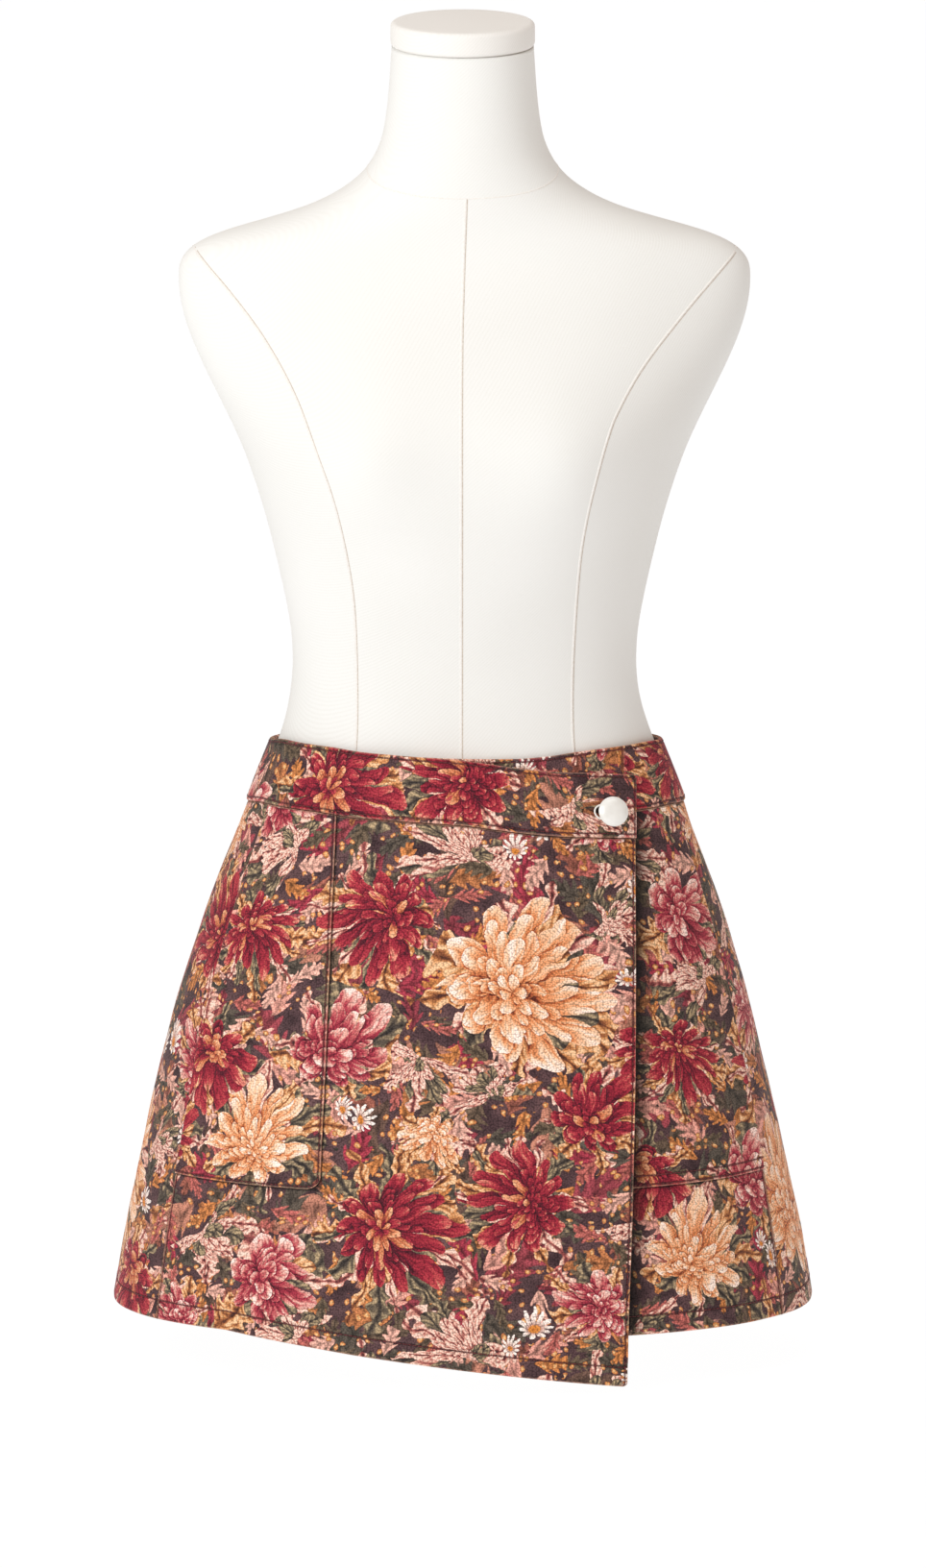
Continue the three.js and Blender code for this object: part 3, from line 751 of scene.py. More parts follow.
def rounded(radius, height, edge, dome):
    """The profile of a block with rounded edges."""
    turn = np.linspace(0, math.pi / 2, 8)
    low = [(radius - edge + edge * math.sin(t), edge - edge * math.cos(t)) for t in turn]
    high = [(radius - edge + edge * math.cos(t), height - edge + edge * math.sin(t)) for t in turn]
    flat = np.linspace(1, 0, 8)[1:-1] * (radius - edge)
    top = [(r, height + dome * (1 - (r / (radius - edge)) ** 2)) for r in flat]
    base = [(r, 0.0) for r in flat[::-1]]
    return [(0, 0.0), *base, *low, *high, *top, (0, height + dome)]


cap_place = Matrix.Translation((float(form_section(FORM_TOP)[0]), 0, FORM_TOP + SEAM_GAP))
neck_block = lathe("neck_block", rounded(**CAP), 128, cap_place)
pieces["neck_block"] = settle_on_body(neck_block, "form_cover", "neck_cap")

# ---- button


def button_frame():
    """The button's own frame: x along the band, z out of the cloth, its origin on the wrap's face."""
    x, z = BUTTON["x"], BUTTON["z"]
    lift = float(wrap_lift(x, z))
    theta = float(angle_at(x, z, lift))
    out = outward(theta, z)
    place = skirt_point(theta, z, lift, relief=False)
    after, before = (skirt_point(theta + turn, z, lift, relief=False) for turn in (0.05, -0.05))
    along = after - before
    along[2] = -WRAP_SAG["slope"] * np.linalg.norm(along)
    along = unit(along - out * along.dot(out))
    matrix = np.eye(4)
    matrix[:3, 0], matrix[:3, 1], matrix[:3, 2], matrix[:3, 3] = along, np.cross(out, along), out, place
    return matrix


BUTTON_FRAME = button_frame()
tilt = np.array(Matrix.Rotation(math.radians(BUTTON["tilt"]), 4, "Y"))
R, C, H = BUTTON["radius"], BUTTON["clear"], BUTTON["height"]
cap_profile = [
    (0, C), (4, C), (R - 1.6, C), (R - 0.7, C + 0.15), (R - 0.15, C + 0.5), (R, C + 0.95),
    (R - 0.05, C + 1.35), (R - 0.35, C + 1.75), (R - 0.75, C + 1.9), (R - 1.0, C + 1.95),
    (R - 1.35, C + 2.25), (R - 2.2, C + 2.85), (R - 3.4, C + 3.4), (R - 5, C + 3.85),
    (R - 7, C + 4.2), (R - 9, C + 4.36), (0, C + H),
]
button_cap = lathe("button_cap", cap_profile, 96, BUTTON_FRAME @ tilt)
pieces["button_cap"] = settle_on_body(button_cap, "button_metal", "button")
foot = -BAND_THICKNESS - LAYER_GAP - EDGE_STAND["band"] + SEAM_GAP + 0.35
shank_profile = [
    (0, foot), (2.2, foot), (2.3, foot + 1), (2.0, foot + 2.5), (2.0, C - 0.8), (3.2, C - 0.2), (0, C),
]
button_shank = lathe("button_shank", shank_profile, 40, BUTTON_FRAME @ tilt)
pieces["button_shank"] = settle_on_body(button_shank, "button_metal")

# ---- buttonhole


def teardrop(steps=14):
    """The buttonhole's outline in the button's frame, as (x, y) pairs."""
    length, width, tail, beyond = BUTTONHOLE.values()
    wide, t = width / 2, np.linspace(0, 1, steps)

    def quadratic(a, b, c):
        return np.outer((1 - t) ** 2, a) + np.outer(2 * t * (1 - t), b) + np.outer(t**2, c)

    upper = quadratic((beyond - length, tail / 2), (beyond - length / 2, wide), (0, wide))
    turn = np.linspace(math.pi / 2, -math.pi / 2, steps)[1:-1]
    round_end = np.stack([beyond - wide + wide * np.cos(turn), wide * np.sin(turn)], axis=1)
    lower = upper[::-1] * [1, -1]
    return np.concatenate([upper, round_end, lower])


def hole_cutter():
    outline = teardrop()
    count = len(outline)
    points = [[x, y, depth] for depth in (-BAND_THICKNESS - LAYER_GAP / 2, 4.0) for x, y in outline]
    sides = [(i, count + i, count + (i + 1) % count, (i + 1) % count) for i in range(count)]
    ends = [range(count), range(2 * count - 1, count - 1, -1)]
    return make_object("hole_cutter", moved(points, BUTTON_FRAME), [*sides, *ends])


def finished(piece):
    """Gives a piece its modifiers' result as its own plain mesh."""
    graph = bpy.context.evaluated_depsgraph_get()
    result = bpy.data.meshes.new_from_object(
        piece.evaluated_get(graph), preserve_all_data_layers=True, depsgraph=graph
    )
    piece.modifiers.clear()
    old, piece.data = piece.data, result
    result.name = piece.name
    bpy.data.meshes.remove(old)


cutter = hole_cutter()
opening = pieces["waistband_cloth"].modifiers.new("buttonhole", "BOOLEAN")
opening.operation, opening.object, opening.solver = "DIFFERENCE", cutter, "EXACT"
finished(pieces["waistband_cloth"])
bpy.data.objects.remove(cutter)

# ---- node tools

MATH, VECTOR, MIX, NOISE = "ShaderNodeMath", "ShaderNodeVectorMath", "ShaderNodeMix", "ShaderNodeTexNoise"
RANGE, RAMP, BUMP = "ShaderNodeMapRange", "ShaderNodeValToRGB", "ShaderNodeBump"
SPLIT, JOIN = "ShaderNodeSeparateXYZ", "ShaderNodeCombineXYZ"
ATTRIBUTE, COORDINATES, CUT = "ShaderNodeAttribute", "ShaderNodeTexCoord", "ShaderNodeUVMap"
# Kinds that come with a setting of their own.
TIMES, TIMES_PLUS, PLUS, MINUS, POWER, SIZE, SINE, COSINE, LESS, MORE, LOWER, HIGHER = (
    (MATH, {"operation": name}) for name in (
        "MULTIPLY", "MULTIPLY_ADD", "ADD", "SUBTRACT", "POWER", "ABSOLUTE", "SINE", "COSINE", "LESS_THAN",
        "GREATER_THAN", "MINIMUM", "MAXIMUM",
    )
)
V_TIMES, V_TIMES_PLUS, V_MINUS, V_SCALE, V_LENGTH = (
    (VECTOR, {"operation": name}) for name in ("MULTIPLY", "MULTIPLY_ADD", "SUBTRACT", "SCALE", "LENGTH")
)
MIX_COLOUR, MIX_VECTOR = ((MIX, {"data_type": name}) for name in ("RGBA", "VECTOR"))
CELLS = ("ShaderNodeTexVoronoi", {"voronoi_dimensions": "2D"})


def linear(colour):
    """An sRGB hex value as linear RGBA."""
    parts = [int(colour[i : i + 2], 16) / 255 for i in (1, 3, 5)]
    return [c / 12.92 if c <= 0.04045 else ((c + 0.055) / 1.055) ** 2.4 for c in parts] + [1]


def pick(sockets, name):
    return next(socket for socket in sockets if socket.name == name)


def add_node(tree, kind, *values, out=None, stops=(), named={}, **settings):
    """Adds a node with its settings. Values go to its sockets in order or by name. Gives an output."""
    kind, preset = kind if isinstance(kind, tuple) else (kind, {})
    node = tree.nodes.new(kind)
    for key, value in {**preset, **settings}.items():
        setattr(node, key, value)
    for number, (at, colour) in enumerate(stops):
        if number == len(node.color_ramp.elements):
            node.color_ramp.elements.new(1.0)
        element = node.color_ramp.elements[number]
        element.position, element.color = at, linear(colour)
    sockets = [socket for socket in node.inputs if socket.enabled]
    by_name = [(pick(sockets, name), value) for name, value in named.items()]
    for socket, value in [*zip(sockets, values), *by_name]:
        if isinstance(value, bpy.types.NodeSocket):
            tree.links.new(value, socket)
        elif value is not None:
            socket.default_value = value
    outlets = [socket for socket in node.outputs if socket.enabled]
    return pick(outlets, out) if out else outlets[0]


# ---- sewing


def threads_tree(name, sizes):
    """A new Geometry Nodes tree with a mesh of lines in, a mesh out and named sizes in metres."""
    tree = bpy.data.node_groups.new(name, "GeometryNodeTree")
    inputs = [("Lines", "Geometry"), *((size, "Float") for size in sizes), ("Thread", "Material")]
    for label, kind in inputs:
        tree.interface.new_socket(label, in_out="INPUT", socket_type="NodeSocket" + kind)
    tree.interface.new_socket("Sewn", in_out="OUTPUT", socket_type="NodeSocketGeometry")
    add = partial(add_node, tree)
    given = {socket.name: socket for socket in tree.nodes.new("NodeGroupInput").outputs if socket.name}
    return tree, add, given, add("GeometryNodeMeshToCurve", given["Lines"])


def close_tree(tree, add, geometry, material):
    """Ends a tree in Realize Instances and Set Material."""
    real = add("GeometryNodeRealizeInstances", geometry)
    smooth = add("GeometryNodeSetShadeSmooth", real)
    painted = add("GeometryNodeSetMaterial", smooth, named={"Material": material})
    tree.links.new(painted, tree.nodes.new("NodeGroupOutput").inputs[0])
    return tree


def running_stitch_tree():
    """Long stitches that dip into the cloth at both ends, one after another along each line."""
    tree, add, given, line = threads_tree("running_stitches", ["Pitch", "Length", "Thickness"])
    line = add("GeometryNodeResampleCurve", line, named={"Length": given["Pitch"]}, mode="LENGTH")
    places = add("GeometryNodeCurveToPoints", line, mode="EVALUATED", out="Points")
    turns = pick(places.node.outputs, "Rotation")
    bead = add("GeometryNodeMeshUVSphere", 7, 5, 0.5, out="Mesh")
    shape = add(JOIN, given["Thickness"], given["Thickness"], given["Length"])
    stitches = add("GeometryNodeInstanceOnPoints", named={
        "Points": places, "Instance": bead, "Rotation": turns, "Scale": shape,
    })
    return close_tree(tree, add, stitches, given["Thread"])


def laid_thread_tree():
    """A round thread laid along each line."""
    tree, add, given, line = threads_tree("laid_threads", ["Thickness"])
    radius = add(TIMES, given["Thickness"], 0.5)
    ring = add("GeometryNodeCurvePrimitiveCircle", named={"Resolution": 7, "Radius": radius}, out="Curve")
    tube = add("GeometryNodeCurveToMesh", line, ring, named={"Fill Caps": True})
    return close_tree(tree, add, tube, given["Thread"])


def sewn(name, tree, routes, sizes, material, slot, closed=False):
    """The mesh that a tree makes along routes of points in mm, as a piece of its own."""
    points, edges = [], []
    for route in routes:
        first = len(points)
        points.extend(route)
        edges.extend((first + i, first + i + 1) for i in range(len(route) - 1))
        if closed:
            edges.append((first + len(route) - 1, first))
    mesh = bpy.data.meshes.new(name)
    mesh.from_pydata((np.array(points) * MM).tolist(), edges, [])
    piece = placed(name, mesh)
    modifier = piece.modifiers.new("sewing", "NODES")
    modifier.node_group = tree
    wanted = {**{size: value * MM for size, value in sizes.items()}, "Thread": material}
    for item in tree.interface.items_tree:
        if item.in_out == "INPUT" and item.name in wanted:
            modifier[item.identifier] = wanted[item.name]
    finished(piece)
    settle_on_body(piece, slot)


# Real stitches are finer, and these sizes in mm are the least that show.
TOPSTITCH = {"Pitch": 3.4, "Length": 3.3, "Thickness": 0.8}
BAR = {"pitch": 0.62, "reach": 2.3, "uneven": 0.25}  # the stitches over the buttonhole's edge
SINK = 0.16  # mm that a row of stitches lies below the cloth's face


def stitched_line(name, side, inset, ends):
    """A line of points inside one side of a piece, lying in the furrow that the stitches press."""
    across, up, us, vs = layouts[name]
    share = np.linspace(*ends, 420)
    if side in ("bottom", "top"):
        part = inset / np.interp(share, us, up[:, 0])
        u, v = share, part if side == "bottom" else 1 - part
    else:
        part = inset / np.interp(share, vs, across[0])
        u, v = part if side == "start" else 1 - part, share
    theta, z, out = wall_rows[name]["lay"](u, v)
    return skirt_point(theta, z, out - SINK)


def buttonhole_stitches():
    """Short arched stitches side by side over the edge of the buttonhole."""
    outline = teardrop(steps=60)
    loop = np.concatenate([outline, outline[:1]])
    run = np.concatenate([[0], np.cumsum(np.linalg.norm(np.diff(loop, axis=0), axis=1))])
    places = np.linspace(0, run[-1], int(run[-1] / BAR["pitch"]), endpoint=False)
    at = np.stack([np.interp(places, run, loop[:, k]) for k in (0, 1)], axis=1)
    ahead = np.stack([np.interp((places + 0.4) % run[-1], run, loop[:, k]) for k in (0, 1)], axis=1) - at
    away = unit(np.stack([-ahead[:, 1], ahead[:, 0]], axis=1))
    routes = []
    for k, (spot, out) in enumerate(zip(at, away)):
        far = BAR["reach"] + BAR["uneven"] * math.sin(k * 2.4)
        arch = [(-0.15, -1.3), (-0.25, -0.3), (0.1, 0.32), (0.9, 0.42), (1.7, 0.34), (far, -0.1)]
        routes.append(on_band(np.array([[*(spot + out * reach), rise] for reach, rise in arch])))
    return routes


def on_band(local):
    """Points given in the button's frame, set down on the band's own face."""
    x, _, z = moved(local, BUTTON_FRAME).T
    lift = wrap_lift(x, z)
    return skirt_point(angle_at(x, z, lift), z, lift + local[:, 2])


# ---- floor, camera and light

floor = make_object("floor", [[-2e4, -2e4, 0], [2e4, -2e4, 0], [2e4, 2e4, 0], [-2e4, 2e4, 0]], [(0, 1, 2, 3)])

ELEVATION = math.radians(10.3)
camera_data = bpy.data.cameras.new("camera")
camera_data.type = "ORTHO"
camera_data.ortho_scale = 1.0608
camera_data.clip_end = 60
camera = placed("camera", camera_data)
camera.location = Vector((-0.001, 0, 0.3904)) + 6 * Vector((0, -math.cos(ELEVATION), math.sin(ELEVATION)))
camera.rotation_euler = (math.pi / 2 - ELEVATION, 0, 0)
bpy.context.scene.camera = camera
bpy.context.scene.view_settings.view_transform = "Standard"


def softbox(name, place, aim, side, power, colour):
    light = bpy.data.lights.new(name, "AREA")
    light.shape, light.size, light.size_y, light.energy, light.color = "RECTANGLE", side, side, power, colour
    made = placed(name, light)
    made.location = place
    made.rotation_euler = (Vector(aim) - Vector(place)).to_track_quat("-Z", "Y").to_euler()


# Place and aim in metres, side in metres, watts and colour.
softbox("key", (-2.0, -2.6, 2.2), (0, 0, 0.5), 1.6, 74, (0.935, 0.985, 1.0))
softbox("fill", (2.2, -3.0, 1.2), (0, 0, 0.45), 2.0, 5, (1.0, 0.97, 0.93))
softbox("top", (0.2, -0.2, 3.2), (0, 0, 0.5), 2.0, 21, (0.94, 0.97, 1.0))
world = bpy.data.worlds.new("studio")
bpy.context.scene.world = world
world.use_nodes = True
background = world.node_tree.nodes["Background"]
background.inputs["Color"].default_value = (1.0, 0.85, 0.73, 1)
background.inputs["Strength"].default_value = 0.42

# ---- the print

TILE = (300.0, 340.0)
CREAM, CRIMSON, PINK, DAISY, FROND = 0.0, 1.0, 2.0, 3.0, 4.0
# Each motif of the repeat: its place and radius in mm, its turn, its kind, and petals more or fewer.
MOTIFS = [
    (142, -32, 38, 0.4, CREAM, 1), (148, -140, 35, 1.9, PINK, -3), (138, -236, 28, 2.6, CRIMSON, 2),
    (64, -22, 30, 0.9, CRIMSON, -1), (12, -84, 35, 5.2, CRIMSON, 1), (-66, -110, 44, 2.2, CRIMSON, 2),
    (-42, -44, 20, 3.3, CREAM, -2), (22, -276, 56, 1.2, CREAM, 0), (-80, -234, 37, 4.1, CRIMSON, 1),
    (-100, -316, 34, 0.7, PINK, -3), (106, -322, 33, 3.0, CRIMSON, -1), (64, -158, 26, 4.6, PINK, -2),
    (26, -170, 10.5, 0.0, DAISY, 0), (10, -185, 9, 0.5, DAISY, 0), (-86, -28, 8.5, 0.9, DAISY, 0),
    (-99, -21, 7, 0.3, DAISY, 0), (94, -206, 9.5, 0.7, DAISY, 0), (84, -268, 8, 0.4, DAISY, 0),
    (-30, -196, 36, 4.6, FROND, -1), (98, -92, 30, 1.0, FROND, -2), (-142, -186, 30, 3.8, FROND, -2),
    (-44, -330, 27, 2.0, FROND, -2), (-8, -16, 24, 4.4, FROND, -2), (66, -222, 26, 0.2, FROND, -2),
]
# The rings of a bloom from the outermost in: radius, petals, how deep the clefts go, how round the tips.
LEAF_RINGS = [(1.78, 7, 0.94, 0.82), (1.42, 10, 0.83, 0.92)]
PETAL_RINGS = [
    (1.00, 11, 0.46, 2.3), (0.84, 12, 0.44, 2.4), (0.67, 10, 0.46, 2.3), (0.50, 8, 0.48, 2.2),
    (0.34, 6, 0.50, 2.0), (0.19, 5, 0.50, 1.8),
]
STROKE = {"dark": -0.60, "streaks": 1.35, "tip": 0.62, "sides": -0.52, "own": 0.34}
PETAL_LENGTH = (0.34, 0.82)  # how much longer a petal may be than the shortest, and the shortest's share
STRAY = [(26.0, 15.0), (6.5, 1.9)]  # mm: the waves in the drawn lines, and how far each shifts them
LEAF_SHARES = (0.46, 0.73)  # leaves are rosy below the first share, olive up to the second, then gold
LEAN = 0.38  # how far off its middle the heart of a bloom is, as a share of its radius
DAISY_RAYS = 11
LOBES = 24.0  # how closely a small leaf is lobed along its length
# The small leaves of the ground: spacing in mm, half width as a share of it, and their colours.
FILLERS = [
    (33.0, 0.24, ["#5a4a3c", "#7c3038", "#8a5040", "#5c4a3a"]),
    (54.0, 0.26, ["#4c443a", "#8a3a40", "#5c4438", "#a8705a"]),
    (36.0, 0.26, ["#c98c7a", "#4f453a", "#93303d", "#a8693f"]),
    (25.0, 0.25, ["#cf9c88", "#5e4e3c", "#a85a50", "#b9743f"]),
]
# Each paint from its darkest stroke to its lightest; a berry's and a daisy's from the middle out.
PAINTS = {
    "cream": [
        (0.0, "#5e2619"), (0.14, "#a34f2c"), (0.32, "#cf7c48"), (0.52, "#e6a06e"), (0.72, "#f1c49c"),
        (0.98, "#fae4d0"),
    ],
    "crimson": [
        (0.0, "#2c0c14"), (0.26, "#561122"), (0.50, "#84192b"), (0.72, "#a32b38"), (0.88, "#bb4a48"),
        (1.0, "#dc8d74"),
    ],
    "pink": [
        (0.0, "#3e121b"), (0.24, "#781c2c"), (0.46, "#a2303f"), (0.64, "#c26460"), (0.82, "#e3aa98"),
        (1.0, "#f6d8c8"),
    ],
    "amber": [(0.0, "#5a1c1c"), (0.35, "#a84a34"), (0.65, "#d98650"), (1.0, "#f0be8a")],
    "rosy": [(0.20, "#40201f"), (0.40, "#934945"), (0.60, "#d0917c"), (0.85, "#f2cdb6")],
    "olive": [(0.20, "#2b2421"), (0.48, "#4b4137"), (0.74, "#766650"), (1.0, "#b09872")],
    "gold": [(0.20, "#46241c"), (0.44, "#925632"), (0.66, "#cc8a52"), (0.95, "#efc090")],
    "ground": [(0.3, "#382426"), (0.5, "#503839"), (0.72, "#694b49")],
    "berry": [(0.0, "#f0c890"), (0.18, "#cf8a4a"), (0.3, "#8a3a34")],
    "daisy": [(0.0, "#c8742c"), (0.3, "#d98a3c"), (0.34, "#b98a78"), (0.6, "#f0dccb"), (1.0, "#fbf1e4")],
}


def floral_print(add, place):
    """The colour of the printed flowers at a place on the flat cloth, in mm."""
    # Hand-drawn unevenness.
    drawn = place
    for wave, shift in STRAY:
        noise = add(V_MINUS, add(NOISE, place, 1 / wave, 1.0, out="Color"), (0.5, 0.5, 0.5))
        drawn = add(V_TIMES_PLUS, noise, (shift, shift, 0), drawn)
    # The nearest motif for its size, and the place within it.
    best = None
    for x, y, radius, turn, kind, more in MOTIFS:
        scaled = add(V_TIMES_PLUS, drawn, (1 / radius, 1 / radius, 0), (-x / radius, -y / radius, 0))
        half = (TILE[0] / 2 / radius, TILE[1] / 2 / radius, 1)
        near = add(VECTOR, scaled, half, tuple(-h for h in half), operation="WRAP")
        reach = add(V_LENGTH, near)
        facts = (turn, kind, more)
        if best is None:
            best = (reach, near, facts)
            continue
        closer = add(LESS, reach, best[0])
        best = (
            add(LOWER, reach, best[0]),
            add(MIX_VECTOR, closer, best[1], near),
            add(MIX_VECTOR, closer, best[2], facts),
        )
    reach, near, facts = best
    turn, kind, more = (add(SPLIT, facts, out=axis) for axis in "XYZ")
    # A bloom is seen a little from one side: its heart is off its middle, more so the nearer in.
    lean = add(TIMES, add(HIGHER, add(MINUS, 1.0, reach), 0.0), LEAN)
    away = add(JOIN, add(SINE, turn), add(COSINE, turn), 0.0)
    near = add(V_TIMES_PLUS, away, lean, near)
    reach = add(V_LENGTH, near)
    x, y = (add(SPLIT, near, out=axis) for axis in "XY")
    bare_angle = add(MATH, y, x, operation="ARCTAN2")
    angle = add(PLUS, bare_angle, turn)
    is_crimson, is_pink, is_daisy, is_frond = (
        add(MATH, kind, which, 0.3, operation="COMPARE") for which in (CRIMSON, PINK, DAISY, FROND)
    )
    # Rings of petals. Each ring's edge is a row of arches, and a petal's tone runs up from the edge of the
    # next ring in to its own.
    edges, facts_of = [], []
    for number, (radius, petals, cleft, roundness) in enumerate([*LEAF_RINGS, *PETAL_RINGS]):
        count = add(TIMES_PLUS, more, 1 / (2 * math.pi), petals / (2 * math.pi))
        cell = add(TIMES_PLUS, angle, count, 20 + 0.37 * number)
        across = add(TIMES_PLUS, add(MATH, cell, operation="FRACT"), 2.0, -1.0)
        side = add(SIZE, across)
        seed = add(JOIN, add(MATH, cell, operation="FLOOR"), turn, float(number))
        chance = add("ShaderNodeTexWhiteNoise", seed, noise_dimensions="3D", out="Value")
        if number < len(LEAF_RINGS):  # a leaf's edge is lobed
            lobes = add(SINE, add(TIMES, reach, 25.0 - 5 * number))
            side = add(HIGHER, add(TIMES_PLUS, lobes, 0.12, side), 0.0)
        arch = add(POWER, side, roundness)
        drop = add(TIMES_PLUS, arch, -cleft, 1.0)
        length = add(TIMES_PLUS, chance, *(share * radius for share in PETAL_LENGTH))
        edges.append(add(TIMES, drop, length))
        facts_of.append(add(JOIN, cell, chance, across))
    rise, petal, ring = None, None, None
    for number, edge in enumerate(edges):
        low = edges[number + 1] if number + 1 < len(edges) else 0.0
        climb = add(RANGE, reach, low, edge, 0.0, 1.0)
        if rise is None:
            rise, petal = climb, facts_of[0]
            continue
        inside = add(LESS, reach, edge)
        rise = add(MIX, inside, rise, climb)
        petal = add(MIX_VECTOR, inside, petal, facts_of[number])
        ring = inside if ring is None else add(PLUS, ring, inside)
    cell, chance, across = (add(SPLIT, petal, out=axis) for axis in "XYZ")
    side = add(SIZE, across)
    # Brush strokes run along each petal.
    stroke_at = add(JOIN, add(TIMES, cell, 6.0), add(TIMES, reach, 2.2), ring)
    strokes = add(NOISE, stroke_at, 1.0, 2.0, 0.65)
    # A petal is lighter towards its tip and darker at its sides, and some are lighter than others.
    tones = {"streaks": strokes, "tip": add(POWER, rise, 0.7), "sides": add(POWER, side, 2.2), "own": chance}
    light = STROKE["dark"]
    for name, tone in tones.items():
        light = add(TIMES_PLUS, tone, STROKE[name], light)
    painted = {name: add(RAMP, light, stops=PAINTS[name]) for name in ("cream", "crimson", "pink", "amber")}
    golden = add(TIMES, add(TIMES, add(MORE, ring, 4.5), add(MORE, chance, 0.7)), 0.7)
    crimson = add(MIX_COLOUR, golden, painted["crimson"], painted["amber"])
    bloom = add(MIX_COLOUR, is_crimson, painted["cream"], crimson)
    bloom = add(MIX_COLOUR, is_pink, bloom, painted["pink"])
    # Leaves behind the blooms, and fronds by themselves.
    rib = add(RANGE, side, 0.02, 0.12, 0.40, 1.0)
    veins_at = add(TIMES, add(TIMES_PLUS, side, -0.45, reach), 34.0)
    leaf_light = add(TIMES_PLUS, add(SINE, veins_at), 0.17, strokes)
    leaf_light = add(TIMES_PLUS, rise, 0.55, leaf_light)
    leaf_light = add(TIMES, leaf_light, rib)
    leaf_light = add(TIMES, leaf_light, add(RANGE, rise, 0.8, 1.0, 1.0, 0.55))
    rosy, olive, gold = (add(RAMP, leaf_light, stops=PAINTS[name]) for name in ("rosy", "olive", "gold"))
    choice = add(TIMES_PLUS, is_frond, -0.3, chance)
    leaf = add(MIX_COLOUR, add(MORE, choice, LEAF_SHARES[0]), rosy, olive)
    leaf = add(MIX_COLOUR, add(MORE, choice, LEAF_SHARES[1]), leaf, gold)
    # The ground, and the small leaves that fill it.
    patch = add(NOISE, place, 1 / 16, 3.0)
    ground = add(RAMP, patch, stops=PAINTS["ground"])
    streaks_at = add(V_TIMES, drawn, (0.5, 0.13, 1))
    streaks = add(NOISE, streaks_at, 1.0, 1.0)
    for scale, width, shades in FILLERS:
        cells_at = add(V_TIMES_PLUS, drawn, (1 / scale, 1 / scale, 0), (scale, 3.3, 0))
        centre = add(CELLS, cells_at, 1.0, named={"Randomness": 0.7}, out="Position")
        local = add(V_MINUS, cells_at, centre)
        draw, spin = (add(SPLIT, centre.node.outputs["Color"], out=axis) for axis in "XY")
        spin = add(TIMES, spin, 6.283)
        spun = add("ShaderNodeVectorRotate", local, named={"Angle": spin}, rotation_type="Z_AXIS")
        along, off = (add(SPLIT, spun, out=axis) for axis in "XY")
        off = add(SIZE, off)
        taper = add(POWER, add(TIMES, along, 1.8), 2.0)
        slant = add(TIMES_PLUS, off, -1.35, along)
        lobes = add(SINE, add(TIMES, slant, LOBES))
        body = add(TIMES, add(TIMES_PLUS, taper, -width, width), add(TIMES_PLUS, lobes, 0.26, 0.74))
        body = add(MINUS, body, off)
        shown = add(RANGE, body, 0.0, 0.02, 0.0, 1.0)
        shade = add(RAMP, draw, stops=[(0.25 * number, shade) for number, shade in enumerate(shades)])
        shade.node.color_ramp.interpolation = "CONSTANT"
        line = add(RANGE, off, 0.0, 0.040, 0.50, 1.0)
        lit = add(TIMES_PLUS, add(TIMES_PLUS, lobes, 0.24, streaks), 1.35, 0.40)
        shade = add(V_SCALE, shade, add(TIMES, lit, line))
        ground = add(MIX_COLOUR, shown, ground, shade)
    berries_at = add(V_TIMES, drawn, (1 / 7.0, 1 / 7.0, 0))
    berry = add(CELLS, berries_at, 1.0, named={"Randomness": 0.8}, out="Distance")
    ripe = add(SPLIT, berry.node.outputs["Color"], out="X")
    clump = add(MORE, add(TIMES_PLUS, ripe, 0.35, patch), 0.74)
    berry_colour = add(RAMP, berry, stops=PAINTS["berry"])
    dot = add(TIMES, add(LESS, berry, 0.27), clump)
    ground = add(MIX_COLOUR, dot, ground, berry_colour)
    plain = add(TIMES_PLUS, is_daisy, -1.0, 1.0)
    # A frond's leaves fan out to one side only.
    fan = add(MORE, add(PLUS, add(COSINE, add(PLUS, bare_angle, turn)), 0.25), 0.0)
    fan = add(HIGHER, add(TIMES_PLUS, is_frond, -1.0, 1.0), fan)
    behind = add(TIMES, add(LESS, reach, add(HIGHER, edges[0], edges[1])), plain)
    colour = add(MIX_COLOUR, add(TIMES, behind, fan), ground, leaf)
    flower = add(TIMES_PLUS, add(PLUS, is_frond, is_daisy), -1.0, 1.0)
    on_bloom = add(TIMES, add(LESS, reach, edges[2]), flower)
    colour = add(MIX_COLOUR, on_bloom, colour, bloom)
    # Daisies: narrow white rays round an orange eye.
    ray = add(POWER, add(SIZE, add(COSINE, add(TIMES, angle, DAISY_RAYS / 2))), 0.5)
    on_ray = add(TIMES, add(LESS, reach, ray), is_daisy)
    return add(MIX_COLOUR, on_ray, colour, add(RAMP, reach, stops=PAINTS["daisy"]))


# ---- materials


def new_material(name):
    """An empty material, the function that adds its nodes, and its shader."""
    material = bpy.data.materials.new(name)
    material.use_nodes = True
    return material, partial(add_node, material.node_tree), material.node_tree.nodes["Principled BSDF"]


def on_cloth(add):
    """A place on the flat cloth, in mm."""
    return add(V_TIMES, add(CUT, uv_map="cut"), (1000, 1000, 0))


def fill(add, shader, relief=None, **sockets):
    """Sets or links the shader's sockets, whose names are written with _ for a space.

    `relief` is the strength, the depth in metres and the height of what the surface stands up in.
    """
    if relief:
        sockets["Normal"] = add(BUMP, named=dict(zip(("Strength", "Distance", "Height"), relief)))
    for name, value in sockets.items():
        socket = shader.inputs[name.replace("_", " ")]
        if isinstance(value, bpy.types.NodeSocket):
            shader.id_data.links.new(value, socket)
        else:
            socket.default_value = value


FADE = (1.17, 1.16, 1.24)  # the dyes' share of red, green and blue once washed
WEAVE = (1.55, 1.3)  # mm between the threads' floats, across and up


